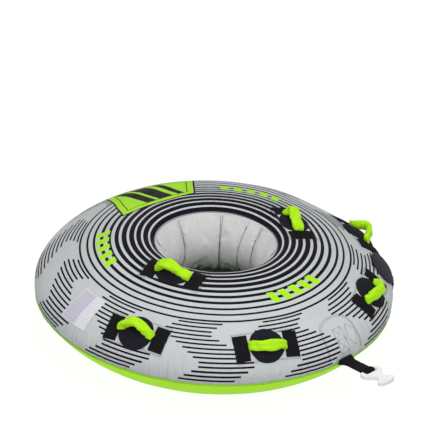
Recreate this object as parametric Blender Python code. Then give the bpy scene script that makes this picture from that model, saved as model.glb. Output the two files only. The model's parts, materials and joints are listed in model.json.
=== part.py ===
"""Towable tube: a round inflated ring towed behind a boat, with a seat in its hole.

Frame: metres, +Z up.  The origin is the centre of the seat floor's upper face, on
the ring's own axis.  The tow point is at -Y.  Heights in the constants below are
measured from the ground the ring rests on; to_z() converts them.

A place on a cover is given by its distance along the cover's section and its
azimuth in degrees from +X.  On the top cover distances run outwards from the crown,
on the bottom cover inwards from the rim seam.  Of each left/right pair the left
one has the smaller azimuth.
"""
import math

import bmesh
import bpy
from mathutils import Matrix, Vector

for _old in list(bpy.data.objects):
    bpy.data.objects.remove(_old, do_unlink=True)

# ------------------------------------------------------------------ dimensions
# Section of the ring: (radius from the axis, height above the ground)
MOUTH = (0.233, 0.388)            # sewn edge between the top cover and the hole wall
LIP = (0.244, 0.402)              # outermost roll of the mouth
CROWN = (0.295, 0.412)            # highest circle of the ring
SHOULDER = (0.479, 0.363)         # middle of the upper flank
SHOULDER_SLOPE = math.radians(22)
EQUATOR = (0.681, 0.191)          # widest circle
SEAM = (0.674, 0.158)             # circle where the two covers are sewn together
FLAT_OUTER = (0.425, 0.0)         # flat contact band the ring rests on
FLAT_INNER = (0.335, 0.0)
WAIST = (0.180, 0.255)            # narrowest circle of the hole
WALL_FOOT = (0.2405, 0.1335)      # lower edge of the hole wall
SKIRT_TOP = (0.2415, 0.1265)      # inner edge of the bottom cover
SEAT_FLOOR_HEIGHT = 0.130
SEAT_FLOOR_RADIUS = 0.244
SEAT_FLOOR_T = 0.0012

FACETS = 36                       # flat faces around the ring
FACET_DEG = 360.0 / FACETS
COVER_T = 0.0009                  # coated nylon
BLADDER_T = 0.0008                # PVC
BLADDER_GAP = 0.0022              # from the cover's outer face to the bladder
SEAM_GAP = 0.0035                 # from the seam circle to either cover's edge, in height
PIPING_RADIUS = 0.0026
PIPING_OFFSET = 0.0014            # piping's centre outside the seam circle

SHEET_LIFT = 0.0005               # gap under a sheet lying on a cover
STACK_GAP = 0.0004                # gap between stacked sheets
SHARP_ANGLE = math.radians(40)    # edges steeper than this are shaded sharp

# Handles: (name, azimuth deg, distance down the flank from the crown, lean deg)
# lean is positive when the grip leans away from the hole
HANDLES = (
    ("bow_left", 241.8, 0.346, 27.0),
    ("bow_right", 297.7, 0.344, 39.0),
    ("side_left", 193.5, 0.344, -34.0),
    ("side_right", 340.0, 0.341, 46.0),
    ("inner_left", 193.1, 0.036, 17.0),
    ("inner_right", 338.3, 0.036, 7.0),
)
OUTER_HANDLE_FROM = 0.15          # handles farther down the flank are outer ones
ANCHOR_WIDTH = 0.057              # webbing
ANCHOR_HALF_SPACING = 0.098       # centre of the handle to the centre of an anchor
ANCHOR_LENGTH_OUTER = 0.106
ANCHOR_LENGTH_INNER = 0.094
ANCHOR_T = 0.0030
BACKING_HALF_WIDTH = 0.132
BACKING_MARGIN = 0.012            # backing beyond the anchors' ends
BACKING_T = 0.0008
PAD_RADIUS = 0.069
PAD_INNER_SQUASH = 0.80           # inner pads are shorter down the flank
PAD_LIFT = 0.0044
PAD_EDGE_T = 0.0020
PAD_RISE = 0.0045
GRIP_HALF_SPAN = 0.0705
GRIP_RISE = 0.050
GRIP_AXIS_LIFT = 0.0085
GRIP_ROUNDNESS = 0.80             # exponent of the arch; 1 is an ellipse, less is squarer
GRIP_STATIONS = (0.0, 0.05, 0.15, 0.27, 0.42, 0.58, 0.73, 0.85, 0.95, 1.0)
SLEEVE_HALF_WIDTH = 0.020
SLEEVE_HALF_DEPTH = 0.0145
SLEEVE_START = 0.14               # part of the arch left bare at each end
SLEEVE_END_SCALE = 0.72           # the sleeve's outside is smaller at its ends
SLEEVE_END_ZONE = 0.2
STRAP_HALF_WIDTH = 0.0125
STRAP_T = 0.0024
STRAP_ROOT_SCALE = 0.22           # width at the roots
STRAP_TAPER = 0.16                # arch fraction per unit of relative width gained
STRAP_SIDE_CLEARANCE = 0.0010     # to the sleeve's bore
STRAP_FACE_CLEARANCE = 0.0008

# Valve and its cover flap
VALVE_AZIM = 319.7
VALVE_DIST = 0.384
# Turned sections of the valve: (radius, height over the cover)
VALVE_HOLE = ((0, -0.020), (0.0165, -0.020), (0.0165, 0.012), (0, 0.012))
VALVE_BODY = ((0.007, -0.0155), (0.022, -0.0155), (0.022, -0.0140), (0.0145, -0.0140),
              (0.0145, 0.0030), (0.0108, 0.0030), (0.0108, -0.0075), (0.007, -0.0075))
VALVE_DIAPHRAGM = ((0, -0.0070), (0.0100, -0.0070), (0.0100, -0.0060), (0, -0.0060))
VALVE_CAP = ((0, -0.0045), (0.0096, -0.0045), (0.0096, 0.0035), (0.0175, 0.0035),
             (0.0175, 0.0080), (0.0155, 0.0095), (0, 0.0095))
FLAP_HALF_WIDTH = 0.089
FLAP_HALF_LENGTH = 0.063
FLAP_T = 0.0016
FLAP_EDGE_LIFT = 0.0050
FLAP_DOME = 0.0095                # rise of the middle over the edge
FLAP_HINGE_MARGIN = 0.006         # hinge beyond the flap's outer edge
FLAP_HINGE_LIFT = 0.006
TAPE_DIST = VALVE_DIST - 0.050
TAPE_HALF_WIDTH = 0.042
LOOP_TAPE_HALF_LENGTH = 0.008
LOOP_TAPE_T = 0.0010
HOOK_TAPE_HALF_LENGTH = 0.007
HOOK_TAPE_T = 0.0009

# Tow point
TOW_HEIGHT = 0.170                # the strap leaves the rim just above the seam
# Patches on the rim: (side, distances, azimuths)
TOW_PATCHES = (
    ("left", (0.351, 0.461), (268.1, 272.3)),
    ("right", (0.366, 0.455), (273.6, 277.6)),
)
TOW_PATCH_T = 0.0007
TOW_ANCHOR_SIZE = (0.072, 0.014, 0.030)
TOW_ANCHOR_Y = -0.6900
TOW_ANCHOR_BEVEL = 0.0035
TOW_STRAP_W = 0.055
TOW_STRAP_T = 0.0018
TOW_STRAP_LENGTH = 0.102
TOW_HINGE_R = 0.7010
TOW_FOLD_HALF_GAP = 0.0004        # from the strap's mid plane to each layer
TOW_LAYER_STATION = 0.045         # from the hinge
LOOP_RADIUS = 0.0080
LOOP_ANGLES = (50, 310)           # arc of the loop, degrees from +Y
LOOP_STEPS = 8
LOOP_THROAT = 0.014               # from the loop's axis to where the layers meet it

# Right half of the connector, nose last: (x, y from the loop's axis)
CONNECTOR_HALF = (
    (0.0, 0.0045), (0.040, 0.0045), (0.046, 0.000), (0.047, -0.018), (0.040, -0.034),
    (0.020, -0.050), (0.0165, -0.064), (0.022, -0.074), (0.036, -0.080), (0.040, -0.090),
    (0.036, -0.101), (0.020, -0.107), (0.0, -0.108),
)
CONNECTOR_T = 0.018
CONNECTOR_BEVEL = 0.003
# Cutters: (name, y from the loop's axis, z from the strap's mid plane, size)
CONNECTOR_CUTS = (
    ("connector_slot", -0.0125, 0.0, (0.060, 0.0160, 0.05)),
    # the bar is thinner than the frame, so that the loop turns freely round it
    ("connector_bar_relief_low", 0.002, -0.0130, (0.060, 0.030, 0.0190)),
    ("connector_bar_relief_high", 0.002, 0.0130, (0.060, 0.030, 0.0190)),
)

# Zip on the underside, at +Y
ZIP_AZIMS = (62.0, 118.0)
ZIP_RADIUS = 0.555
ZIP_SEARCH_STEP = 0.001
ZIP_HALF_WIDTH = 0.014
ZIP_TAPE_T = 0.0011
SLIDER_AZIM = ZIP_AZIMS[0] + 3.0
SLIDER_SIZE = (0.014, 0.010, 0.0046)
SLIDER_LIFT = 0.0052
SLIDER_BEVEL = 0.001
PULL_SIZE = (0.030, 0.007, 0.0024)
PULL_LIFT = 0.0096
PULL_REACH = 0.013                # pivot to the pull's centre
PULL_BEVEL = 0.0006

LABEL_DISTS = (0.275, 0.419)
LABEL_AZIMS = (162.0, 174.4)
LABEL_T = 0.0004

# ------------------------------------------------------------------- materials
GREY = (0.60, 0.63, 0.64)
BLACK = (0.020, 0.017, 0.026)
GREEN = (0.42, 0.90, 0.01)
WHITE = (0.86, 0.86, 0.88)


def material(name, colour, rough, metallic=0.0):
    mat = bpy.data.materials.new(name)
    mat.use_nodes = True
    bsdf = mat.node_tree.nodes["Principled BSDF"]
    bsdf.inputs["Base Color"].default_value = (*colour, 1.0)
    bsdf.inputs["Roughness"].default_value = rough
    bsdf.inputs["Metallic"].default_value = metallic
    mat.diffuse_color = (*colour, 1.0)
    return mat


# --------------------------------------------------------------------- section
def to_z(height):
    """Height above the ground to z."""
    return height - SEAT_FLOOR_HEIGHT


def bezier(start, control_1, control_2, end, count):
    """count points along a cubic, without its last point."""
    points = []
    for i in range(count):
        u = i / count
        weights = ((1 - u) ** 3, 3 * (1 - u) ** 2 * u, 3 * (1 - u) * u * u, u ** 3)
        corners = (start, control_1, control_2, end)
        points.append(tuple(sum(w * c[axis] for w, c in zip(weights, corners))
                            for axis in (0, 1)))
    return points


def moved(point, right, up):
    return (point[0] + right, point[1] + up)


def top_profile():
    """Top cover's outer face, from the mouth over the crown to the rim seam."""
    cosine, sine = math.cos(SHOULDER_SLOPE), math.sin(SHOULDER_SLOPE)
    points = [MOUTH]
    points += bezier(LIP, moved(LIP, 0.012, 0.010), moved(CROWN, -0.020, 0), CROWN, 2)
    points += bezier(CROWN, moved(CROWN, 0.050, 0),
                     moved(SHOULDER, -0.050 * cosine, 0.050 * sine), SHOULDER, 3)
    points += bezier(SHOULDER, moved(SHOULDER, 0.075 * cosine, -0.075 * sine),
                     moved(EQUATOR, 0, 0.073), EQUATOR, 6)
    points += [EQUATOR, moved(SEAM, 0.0060, 0.017), moved(SEAM, 0.0012, SEAM_GAP)]
    return points


def bottom_profile():
    """Bottom cover's outer face, from the rim seam under the ring to the seat floor."""
    start = moved(SEAM, -0.0016, -SEAM_GAP)
    points = bezier(start, (0.627, 0.078), (0.490, 0.0), FLAT_OUTER, 5)
    points += [FLAT_OUTER]
    points += bezier(FLAT_INNER, (0.290, 0.002), (0.252, 0.060), SKIRT_TOP, 3)
    points += [SKIRT_TOP]
    return points


def wall_profile():
    """Hole wall's outer face, from the seat floor up through the waist to the mouth."""
    top = moved(MOUTH, -0.0018, -0.0030)
    points = bezier(WALL_FOOT, (0.206, 0.165), (WAIST[0], 0.210), WAIST, 3)
    points += bezier(WAIST, (WAIST[0], 0.310), (0.212, 0.352), top, 3)
    points += [top]
    return points


def offset(profile, shift, closed=False):
    """Points moved by shift towards the left of the direction of travel (mitred)."""
    count = len(profile)
    moved_points = []
    for i, point in enumerate(profile):
        steps = []
        if closed or i > 0:
            before = profile[i - 1]
            steps.append((point[0] - before[0], point[1] - before[1]))
        if closed or i < count - 1:
            after = profile[(i + 1) % count]
            steps.append((after[0] - point[0], after[1] - point[1]))
        normals = [(-dz / math.hypot(dx, dz), dx / math.hypot(dx, dz)) for dx, dz in steps]
        sum_x = sum(normal[0] for normal in normals)
        sum_z = sum(normal[1] for normal in normals)
        length = math.hypot(sum_x, sum_z)
        mitre_x, mitre_z = sum_x / length, sum_z / length
        # the floor on the divisor keeps sharp corners from shooting out
        reach = shift / max(0.4, mitre_x * normals[0][0] + mitre_z * normals[0][1])
        moved_points.append((point[0] + mitre_x * reach, point[1] + mitre_z * reach))
    return moved_points


# ---------------------------------------------------------------- mesh helpers
def link_object(name, mesh):
    """Object holding a bmesh, which is freed."""
    data = bpy.data.meshes.new(name)
    mesh.to_mesh(data)
    mesh.free()
    obj = bpy.data.objects.new(name, data)
    bpy.context.scene.collection.objects.link(obj)
    return obj


def finish(name, mesh, mat, origin=(0, 0, 0)):
    """Object from a bmesh in world coordinates, with its origin where asked."""
    bmesh.ops.recalc_face_normals(mesh, faces=mesh.faces)
    bmesh.ops.translate(mesh, verts=mesh.verts, vec=-Vector(origin))
    obj = link_object(name, mesh)
    obj.location = Vector(origin)
    obj.data.materials.append(mat)
    obj.data.shade_smooth()
    obj.data.set_sharp_from_angle(angle=SHARP_ANGLE)
    return obj


def cut(target, cutter, name):
    """Boolean difference with a cutter hidden from renders."""
    bmesh.ops.recalc_face_normals(cutter, faces=cutter.faces)
    obj = link_object(name, cutter)
    obj.hide_render = True
    obj.display_type = 'WIRE'
    mod = target.modifiers.new(name, 'BOOLEAN')
    mod.operation = 'DIFFERENCE'
    mod.solver = 'EXACT'
    mod.object = obj


def add_rings(mesh, sections):
    return [[mesh.verts.new(point) for point in section] for section in sections]


def bridge(mesh, ring_a, ring_b):
    """Faces between two closed rings; a ring may be a single vertex."""
    count = max(len(ring_a), len(ring_b))
    if count == 1:
        return
    for k in range(count):
        m = (k + 1) % count
        if len(ring_a) == 1:
            mesh.faces.new((ring_a[0], ring_b[k], ring_b[m]))
        elif len(ring_b) == 1:
            mesh.faces.new((ring_a[k], ring_a[m], ring_b[0]))
        else:
            mesh.faces.new((ring_a[k], ring_a[m], ring_b[m], ring_b[k]))


def circle(radius, z, facets):
    """Points of a level circle about the z axis, or its centre if it has no radius."""
    if radius < 1e-6:
        return [Vector((0, 0, z))]
    angles = [2 * math.pi * k / facets for k in range(facets)]
    return [Vector((radius * math.cos(a), radius * math.sin(a), z)) for a in angles]


def add_revolved(mesh, profile, flip=False):
    """Closed section of (radius, height above the ground) turned about the ring's axis."""
    angles = [2 * math.pi * k / FACETS for k in range(FACETS)]
    rings = add_rings(mesh, [[(r * math.cos(a), r * math.sin(a), to_z(height))
                              for r, height in profile] for a in angles])
    for ring, following in zip(rings, rings[1:] + rings[:1]):
        if flip:
            bridge(mesh, following, ring)
        else:
            bridge(mesh, ring, following)


def turned(profile, frame, facets=16):
    """Solid turned about the frame's z axis; its section may touch the axis."""
    mesh = bmesh.new()
    rings = add_rings(mesh, [[frame @ point for point in circle(r, z, facets)]
                             for r, z in profile])
    for ring, following in zip(rings, rings[1:] + rings[:1]):
        bridge(mesh, ring, following)
    return mesh


def loft(mesh, sections):
    """Open-ended skin through sections of equal length; returns its vertex rings."""
    rings = add_rings(mesh, sections)
    for ring, following in zip(rings, rings[1:]):
        bridge(mesh, ring, following)
    return rings


def sweep(sections):
    """Solid lofted through the sections."""
    mesh = bmesh.new()
    rings = loft(mesh, sections)
    mesh.faces.new(rings[0])
    mesh.faces.new(list(reversed(rings[-1])))
    return mesh


def tube_sweep(outer_sections, inner_sections):
    """Hollow tube, open through both ends."""
    mesh = bmesh.new()
    outer = loft(mesh, outer_sections)
    inner = loft(mesh, inner_sections)
    for end in (0, -1):
        bridge(mesh, outer[end], inner[end])
    return mesh


def flat_section(centre, half_width, half_thick):
    """Rectangle about a centre, from two half-size vectors."""
    return [centre + half_width + half_thick, centre - half_width + half_thick,
            centre - half_width - half_thick, centre + half_width - half_thick]


def frame_at(centre, x_axis, y_axis, z_axis):
    frame = Matrix((x_axis, y_axis, z_axis)).transposed().to_4x4()
    frame.translation = centre
    return frame


def box(frame, size, bevel=0.0):
    mesh = bmesh.new()
    bmesh.ops.create_cube(mesh, size=1.0, matrix=frame @ Matrix.Diagonal((*size, 1.0)))
    if bevel:
        bmesh.ops.bevel(mesh, geom=mesh.edges[:], offset=bevel, segments=1, affect='EDGES')
    return mesh


# ----------------------------------------------------- position on the covers
class Surface:
    """The faceted outer face of a cover, addressed by (distance, azimuth)."""

    def __init__(self, profile, zero_index):
        self.points = [Vector((r, to_z(height))) for r, height in profile]
        lengths = [0.0]
        for start, end in zip(self.points, self.points[1:]):
            lengths.append(lengths[-1] + (end - start).length)
        self.dists = [length - lengths[zero_index] for length in lengths]

    def segment(self, dist):
        for i in range(len(self.dists) - 2):
            if dist <= self.dists[i + 1]:
                return i
        return len(self.dists) - 2

    def section_point(self, dist):
        """(radius, z) at a distance."""
        i = self.segment(dist)
        fraction = (dist - self.dists[i]) / (self.dists[i + 1] - self.dists[i])
        return self.points[i].lerp(self.points[i + 1], fraction)

    def segment_normal(self, i):
        along = (self.points[i + 1] - self.points[i]).normalized()
        return Vector((-along.y, along.x))

    def normal(self, dist):
        """Outward (radius, z) normal, averaged where two segments meet."""
        i = self.segment(dist)
        normal = self.segment_normal(i)
        if abs(dist - self.dists[i + 1]) < 1e-6 and i + 2 < len(self.points):
            normal = (normal + self.segment_normal(i + 1)).normalized()
        elif abs(dist - self.dists[i]) < 1e-6 and i > 0:
            normal = (normal + self.segment_normal(i - 1)).normalized()
        return normal

    def point(self, dist, azim, lift=0.0):
        """World point on the faceted face, raised by lift."""
        facet = math.floor(azim / FACET_DEG)
        facet_middle = math.radians((facet + 0.5) * FACET_DEG)
        half_facet = math.radians(FACET_DEG / 2)
        angle = math.radians(azim)
        r, z = self.section_point(dist)
        normal = self.normal(dist)
        face_r = r * math.cos(half_facet) / math.cos(angle - facet_middle)
        return Vector((face_r * math.cos(angle) + normal.x * lift * math.cos(angle),
                       face_r * math.sin(angle) + normal.x * lift * math.sin(angle),
                       z + normal.y * lift))

    def axes(self, dist, azim):
        """Unit vectors: around the ring, along growing distance, outwards."""
        angle = math.radians(azim)
        normal = self.segment_normal(self.segment(dist))
        around = Vector((-math.sin(angle), math.cos(angle), 0))
        along = Vector((normal.y * math.cos(angle), normal.y * math.sin(angle), -normal.x))
        out = Vector((normal.x * math.cos(angle), normal.x * math.sin(angle), normal.y))
        return around, along, out

    def degrees(self, length, dist):
        """Azimuth spanned by a length around the ring."""
        return math.degrees(length / self.section_point(dist).x)

    def rows(self, first, last):
        """End distances and the section's corners between them."""
        inside = {round(v, 6) for v in self.dists if first + 0.004 < v < last - 0.004}
        return sorted(inside | {round(first, 6), round(last, 6)})


def columns(first, last):
    """End azimuths and the facet edges between them."""
    edges = [k * FACET_DEG
             for k in range(math.ceil(first / FACET_DEG), math.ceil(last / FACET_DEG))]
    inside = {round(v, 5) for v in edges if first + 0.05 < v < last - 0.05}
    return sorted(inside | {round(first, 5), round(last, 5)})


TOP = Surface(top_profile(), zero_index=3)
BOTTOM = Surface(bottom_profile(), zero_index=0)


def about(centre, half):
    return (centre - half, centre + half)


def patch(name, surface, dists, azims, thick, mat, lift=SHEET_LIFT):
    """Sheet lying on a cover between two distances and two azimuths."""
    rows = surface.rows(*dists)
    cols = columns(*azims)
    mesh = bmesh.new()
    low, top = [], []
    for dist in rows:
        low.append([mesh.verts.new(surface.point(dist, azim, lift)) for azim in cols])
        top.append([mesh.verts.new(surface.point(dist, azim, lift + thick)) for azim in cols])
    add_face = mesh.faces.new
    for i in range(len(rows) - 1):
        for j in range(len(cols) - 1):
            add_face((top[i][j], top[i + 1][j], top[i + 1][j + 1], top[i][j + 1]))
            add_face((low[i][j], low[i][j + 1], low[i + 1][j + 1], low[i + 1][j]))
    for i in range(len(rows) - 1):
        add_face((low[i][0], low[i + 1][0], top[i + 1][0], top[i][0]))
        add_face((low[i][-1], top[i][-1], top[i + 1][-1], low[i + 1][-1]))
    for j in range(len(cols) - 1):
        add_face((low[0][j], top[0][j], top[0][j + 1], low[0][j + 1]))
        add_face((low[-1][j], low[-1][j + 1], top[-1][j + 1], top[-1][j]))
    return finish(name, mesh, mat)


def domed(name, centre, half_width, half_length, rings, count, low_lift, high_lift, mat,
          origin=(0, 0, 0)):
    """Oval sheet on the top cover.

    centre is (distance, azimuth); rings are relative radii, the first of them 0;
    low_lift and high_lift give the two faces' lift by relative radius.
    """
    centre_dist, centre_azim = centre
    mesh = bmesh.new()

    def place(rho, k, lift):
        angle = 2 * math.pi * k / count
        dist = centre_dist + half_length * rho * math.sin(angle)
        azim = centre_azim + TOP.degrees(half_width * rho * math.cos(angle), dist)
        return TOP.point(dist, azim, lift)

    low, high = [], []
    for rho in rings:
        for face, lift in ((low, low_lift), (high, high_lift)):
            face.append([mesh.verts.new(place(rho, k, lift(rho)))
                         for k in range(count if rho else 1)])
    for face in (low, high):
        bridge(mesh, face[0], face[1])
        for inner, outer in zip(face[1:], face[2:]):
            for k in range(count):
                m = (k + 1) % count
                mesh.faces.new((inner[k], outer[k], outer[m], inner[m]))
    bridge(mesh, low[-1], high[-1])
    return finish(name, mesh, mat, origin)


# ------------------------------------------------------------ covers, bladder
def shell(name, profile, mat):
    """Cover: the outer profile and its inward offset, turned."""
    mesh = bmesh.new()
    add_revolved(mesh, profile + offset(profile, -COVER_T)[::-1])
    return finish(name, mesh, mat)


def seat_floor():
    section = ((0, -SEAT_FLOOR_T), (SEAT_FLOOR_RADIUS, -SEAT_FLOOR_T),
               (SEAT_FLOOR_RADIUS, 0.0), (0, 0.0))
    finish("seat_floor", turned(section, Matrix.Identity(4), FACETS),
           material("seat_floor_nylon", GREEN, rough=0.6))


def rim_piping():
    angles = [math.radians(60 * i) for i in range(6)]
    mesh = bmesh.new()
    add_revolved(mesh, [moved(SEAM, PIPING_OFFSET + PIPING_RADIUS * math.cos(a),
                              PIPING_RADIUS * math.sin(a)) for a in angles])
    finish("rim_piping", mesh, material("piping_green", GREEN, rough=0.5))


def build_bladder():
    """Hollow ring that follows every second point of the covers, a little inside."""
    foot = moved(WALL_FOOT, 0.0015, -0.0015)
    section = (top_profile()[1:-2:2] + [SEAM] + bottom_profile()[2:-1:2] + [foot]
               + wall_profile()[1:-1:2])
    mesh = bmesh.new()
    add_revolved(mesh, offset(section, -BLADDER_GAP, closed=True))
    # the inside face is flipped here; recalculated normals would lose the cavity
    add_revolved(mesh, offset(section, -(BLADDER_GAP + BLADDER_T), closed=True), flip=True)
    obj = link_object("bladder", mesh)
    obj.data.materials.append(material("bladder_pvc", BLACK, rough=0.4))
    obj.data.shade_smooth()
    return obj


# ----------------------------------------------------------------------- valve
def valve(top_cover, bladder):
    around, along, out = TOP.axes(VALVE_DIST, VALVE_AZIM)
    base = TOP.point(VALVE_DIST, VALVE_AZIM)
    frame = frame_at(base, -around, along, out)

    hole = turned(VALVE_HOLE, frame)
    cut(top_cover, hole.copy(), "valve_hole_in_cover")
    cut(bladder, hole, "valve_hole_in_bladder")

    finish("valve_body", turned(VALVE_BODY, frame),
           material("valve_body_plastic", BLACK, rough=0.35))
    finish("valve_diaphragm", turned(VALVE_DIAPHRAGM, frame),
           material("valve_diaphragm_rubber", GREY, rough=0.6))
    finish("valve_cap", turned(VALVE_CAP, frame),
           material("valve_cap_plastic", BLACK, rough=0.35), origin=base)


def valve_flap():
    """Flap over the valve, with its origin on a hinge past its outer edge."""
    hinge = TOP.point(VALVE_DIST + FLAP_HALF_LENGTH + FLAP_HINGE_MARGIN, VALVE_AZIM,
                      FLAP_HINGE_LIFT)

    def low_lift(rho):
        return FLAP_EDGE_LIFT + FLAP_DOME * (1 - rho ** 3)

    domed("valve_flap", (VALVE_DIST, VALVE_AZIM), FLAP_HALF_WIDTH, FLAP_HALF_LENGTH,
          rings=(0, 0.32, 0.64, 0.86, 1.0), count=18,
          low_lift=low_lift, high_lift=lambda rho: low_lift(rho) + FLAP_T,
          mat=material("flap_neoprene", BLACK, rough=0.7), origin=hinge)


def flap_tapes():
    """Loop tape on the cover and hook tape over it, near the flap's inner edge."""
    azims = about(VALVE_AZIM, TOP.degrees(TAPE_HALF_WIDTH, TAPE_DIST))
    patch("flap_loop_tape", TOP, about(TAPE_DIST, LOOP_TAPE_HALF_LENGTH), azims,
          LOOP_TAPE_T, material("loop_tape", BLACK, rough=0.9))
    patch("flap_hook_tape", TOP, about(TAPE_DIST, HOOK_TAPE_HALF_LENGTH), azims,
          HOOK_TAPE_T, material("hook_tape", BLACK, rough=0.8),
          lift=SHEET_LIFT + LOOP_TAPE_T + STACK_GAP)


# --------------------------------------------------------------------- handles
def handle_base(prefix, azim, dist):
    """Backing patch, two anchors and the knuckle pad."""
    is_outer = dist > OUTER_HANDLE_FROM
    length = ANCHOR_LENGTH_OUTER if is_outer else ANCHOR_LENGTH_INNER

    patch(prefix + "_backing_patch", TOP, about(dist, length / 2 + BACKING_MARGIN),
          about(azim, TOP.degrees(BACKING_HALF_WIDTH, dist)), BACKING_T,
          material(prefix + "_backing", GREY, rough=0.6))

    for side, sign in (("left", -1), ("right", 1)):
        anchor_azim = azim + sign * TOP.degrees(ANCHOR_HALF_SPACING, dist)
        name = prefix + "_anchor_" + side
        patch(name, TOP, about(dist, length / 2),
              about(anchor_azim, TOP.degrees(ANCHOR_WIDTH / 2, dist)), ANCHOR_T,
              material(name + "_webbing", BLACK, rough=0.75),
              lift=SHEET_LIFT + BACKING_T + STACK_GAP)

    domed(prefix + "_knuckle_pad", (dist, azim), PAD_RADIUS,
          PAD_RADIUS if is_outer else PAD_RADIUS * PAD_INNER_SQUASH,
          rings=(0, 0.36, 0.70, 1.0), count=16, low_lift=lambda rho: PAD_LIFT,
          high_lift=lambda rho: PAD_LIFT + PAD_EDGE_T + PAD_RISE * (1 - rho * rho),
          mat=material(prefix + "_pad_neoprene", BLACK, rough=0.8))


def arch(fraction, half_span):
    """Place along the roots' line and rise of the grip, for a fraction in 0..1."""
    angle = math.pi * fraction
    cosine = math.cos(angle)
    return (-half_span * math.copysign(abs(cosine) ** GRIP_ROUNDNESS, cosine),
            GRIP_RISE * math.sin(angle) ** GRIP_ROUNDNESS)


def sleeve_sections(centre, wide, deep, scale):
    """Octagonal outside and flat bore of the sleeve at one station."""
    bore_width = STRAP_HALF_WIDTH + STRAP_SIDE_CLEARANCE
    bore_depth = STRAP_T / 2 + STRAP_FACE_CLEARANCE
    outside, bore = [], []
    for k in range(8):
        angle = math.radians(22.5 + 45 * k)
        cosine, sine = math.cos(angle), math.sin(angle)
        outside.append(centre + wide * SLEEVE_HALF_WIDTH * scale * cosine
                       + deep * SLEEVE_HALF_DEPTH * scale * sine)
        # the four points nearest the middle lie on the bore's long sides
        across = math.copysign(1.0 if abs(cosine) > 0.5 else 0.45, cosine)
        bore.append(centre + wide * bore_width * across
                    + deep * math.copysign(bore_depth, sine))
    return outside, bore


def handle_grip(prefix, azim, dist, lean):
    """Arched webbing in a sleeve; it leans about the line through its two roots."""
    half_azim = TOP.degrees(GRIP_HALF_SPAN, dist)
    root_a = TOP.point(dist, azim - half_azim, GRIP_AXIS_LIFT)
    root_b = TOP.point(dist, azim + half_azim, GRIP_AXIS_LIFT)
    middle = (root_a + root_b) / 2
    span_dir = (root_b - root_a).normalized()
    half_span = (root_b - root_a).length / 2
    out = TOP.axes(dist, azim)[2]
    out_dir = (out - span_dir * out.dot(span_dir)).normalized()
    down_dir = span_dir.cross(out_dir)
    tilt = math.radians(lean)
    rise_dir = out_dir * math.cos(tilt) + down_dir * math.sin(tilt)
    wide = down_dir * math.cos(tilt) - out_dir * math.sin(tilt)

    strap, sleeve, bores = [], [], []
    delta = 1e-4                  # fraction either side used for the direction
    for station in GRIP_STATIONS:
        x, rise = arch(station, half_span)
        x_before, rise_before = arch(max(0.0, station - delta), half_span)
        x_after, rise_after = arch(min(1.0, station + delta), half_span)
        centre = middle + span_dir * x + rise_dir * rise
        tangent = (span_dir * (x_after - x_before)
                   + rise_dir * (rise_after - rise_before)).normalized()
        deep = tangent.cross(wide).normalized()
        from_end = min(station, 1 - station)
        # full width inside the sleeve, drawn in towards the roots
        half_width = STRAP_HALF_WIDTH * min(1.0, STRAP_ROOT_SCALE + from_end / STRAP_TAPER)
        strap.append(flat_section(centre, wide * half_width, deep * (STRAP_T / 2)))
        if from_end > SLEEVE_START:
            scale = SLEEVE_END_SCALE if from_end < SLEEVE_END_ZONE else 1.0
            outside, bore = sleeve_sections(centre, wide, deep, scale)
            sleeve.append(outside)
            bores.append(bore)
    finish(prefix + "_grip_webbing", sweep(strap),
           material(prefix + "_grip_webbing", BLACK, rough=0.75), origin=middle)
    finish(prefix + "_grip_sleeve", tube_sweep(sleeve, bores),
           material(prefix + "_sleeve", GREEN, rough=0.7), origin=middle)


# ------------------------------------------------------------------- tow point
TOW_Z = to_z(TOW_HEIGHT)
LOOP_Y = -(TOW_HINGE_R + TOW_STRAP_LENGTH)


def tow_base():
    """Patches on the rim and the block of webbing the strap leaves from."""
    for side, dists, azims in TOW_PATCHES:
        name = "tow_patch_" + side
        patch(name, TOP, dists, azims, TOW_PATCH_T, material(name + "_nylon", GREY, rough=0.6))
    finish("tow_anchor_webbing",
           box(Matrix.Translation((0, TOW_ANCHOR_Y, TOW_Z)), TOW_ANCHOR_SIZE, TOW_ANCHOR_BEVEL),
           material("tow_anchor_webbing", BLACK, rough=0.75))


def tow_strap():
    """Folded strap: out on top, round the loop and back underneath."""
    layer = TOW_STRAP_T / 2 + TOW_FOLD_HALF_GAP
    layer_ys = (-TOW_HINGE_R, -TOW_HINGE_R - TOW_LAYER_STATION, LOOP_Y + LOOP_THROAT)
    first, last = LOOP_ANGLES
    path = [(y, layer) for y in layer_ys]
    for i in range(LOOP_STEPS + 1):
        angle = math.radians(first + (last - first) * i / LOOP_STEPS)
        path.append((LOOP_Y + LOOP_RADIUS * math.cos(angle), LOOP_RADIUS * math.sin(angle)))
    path += [(y, -layer) for y in reversed(layer_ys)]

    half_width = Vector((TOW_STRAP_W / 2, 0, 0))
    sections = []
    for i, (y, z) in enumerate(path):
        y_before, z_before = path[max(0, i - 1)]
        y_after, z_after = path[min(len(path) - 1, i + 1)]
        along = Vector((0, y_after - y_before, z_after - z_before)).normalized()
        half_thick = Vector((0, -along.z, along.y)) * (TOW_STRAP_T / 2)
        sections.append(flat_section(Vector((0, y, TOW_Z + z)), half_width, half_thick))
    finish("tow_strap", sweep(sections), material("tow_strap_webbing", BLACK, rough=0.75),
           origin=(0, -TOW_HINGE_R, TOW_Z))


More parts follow.
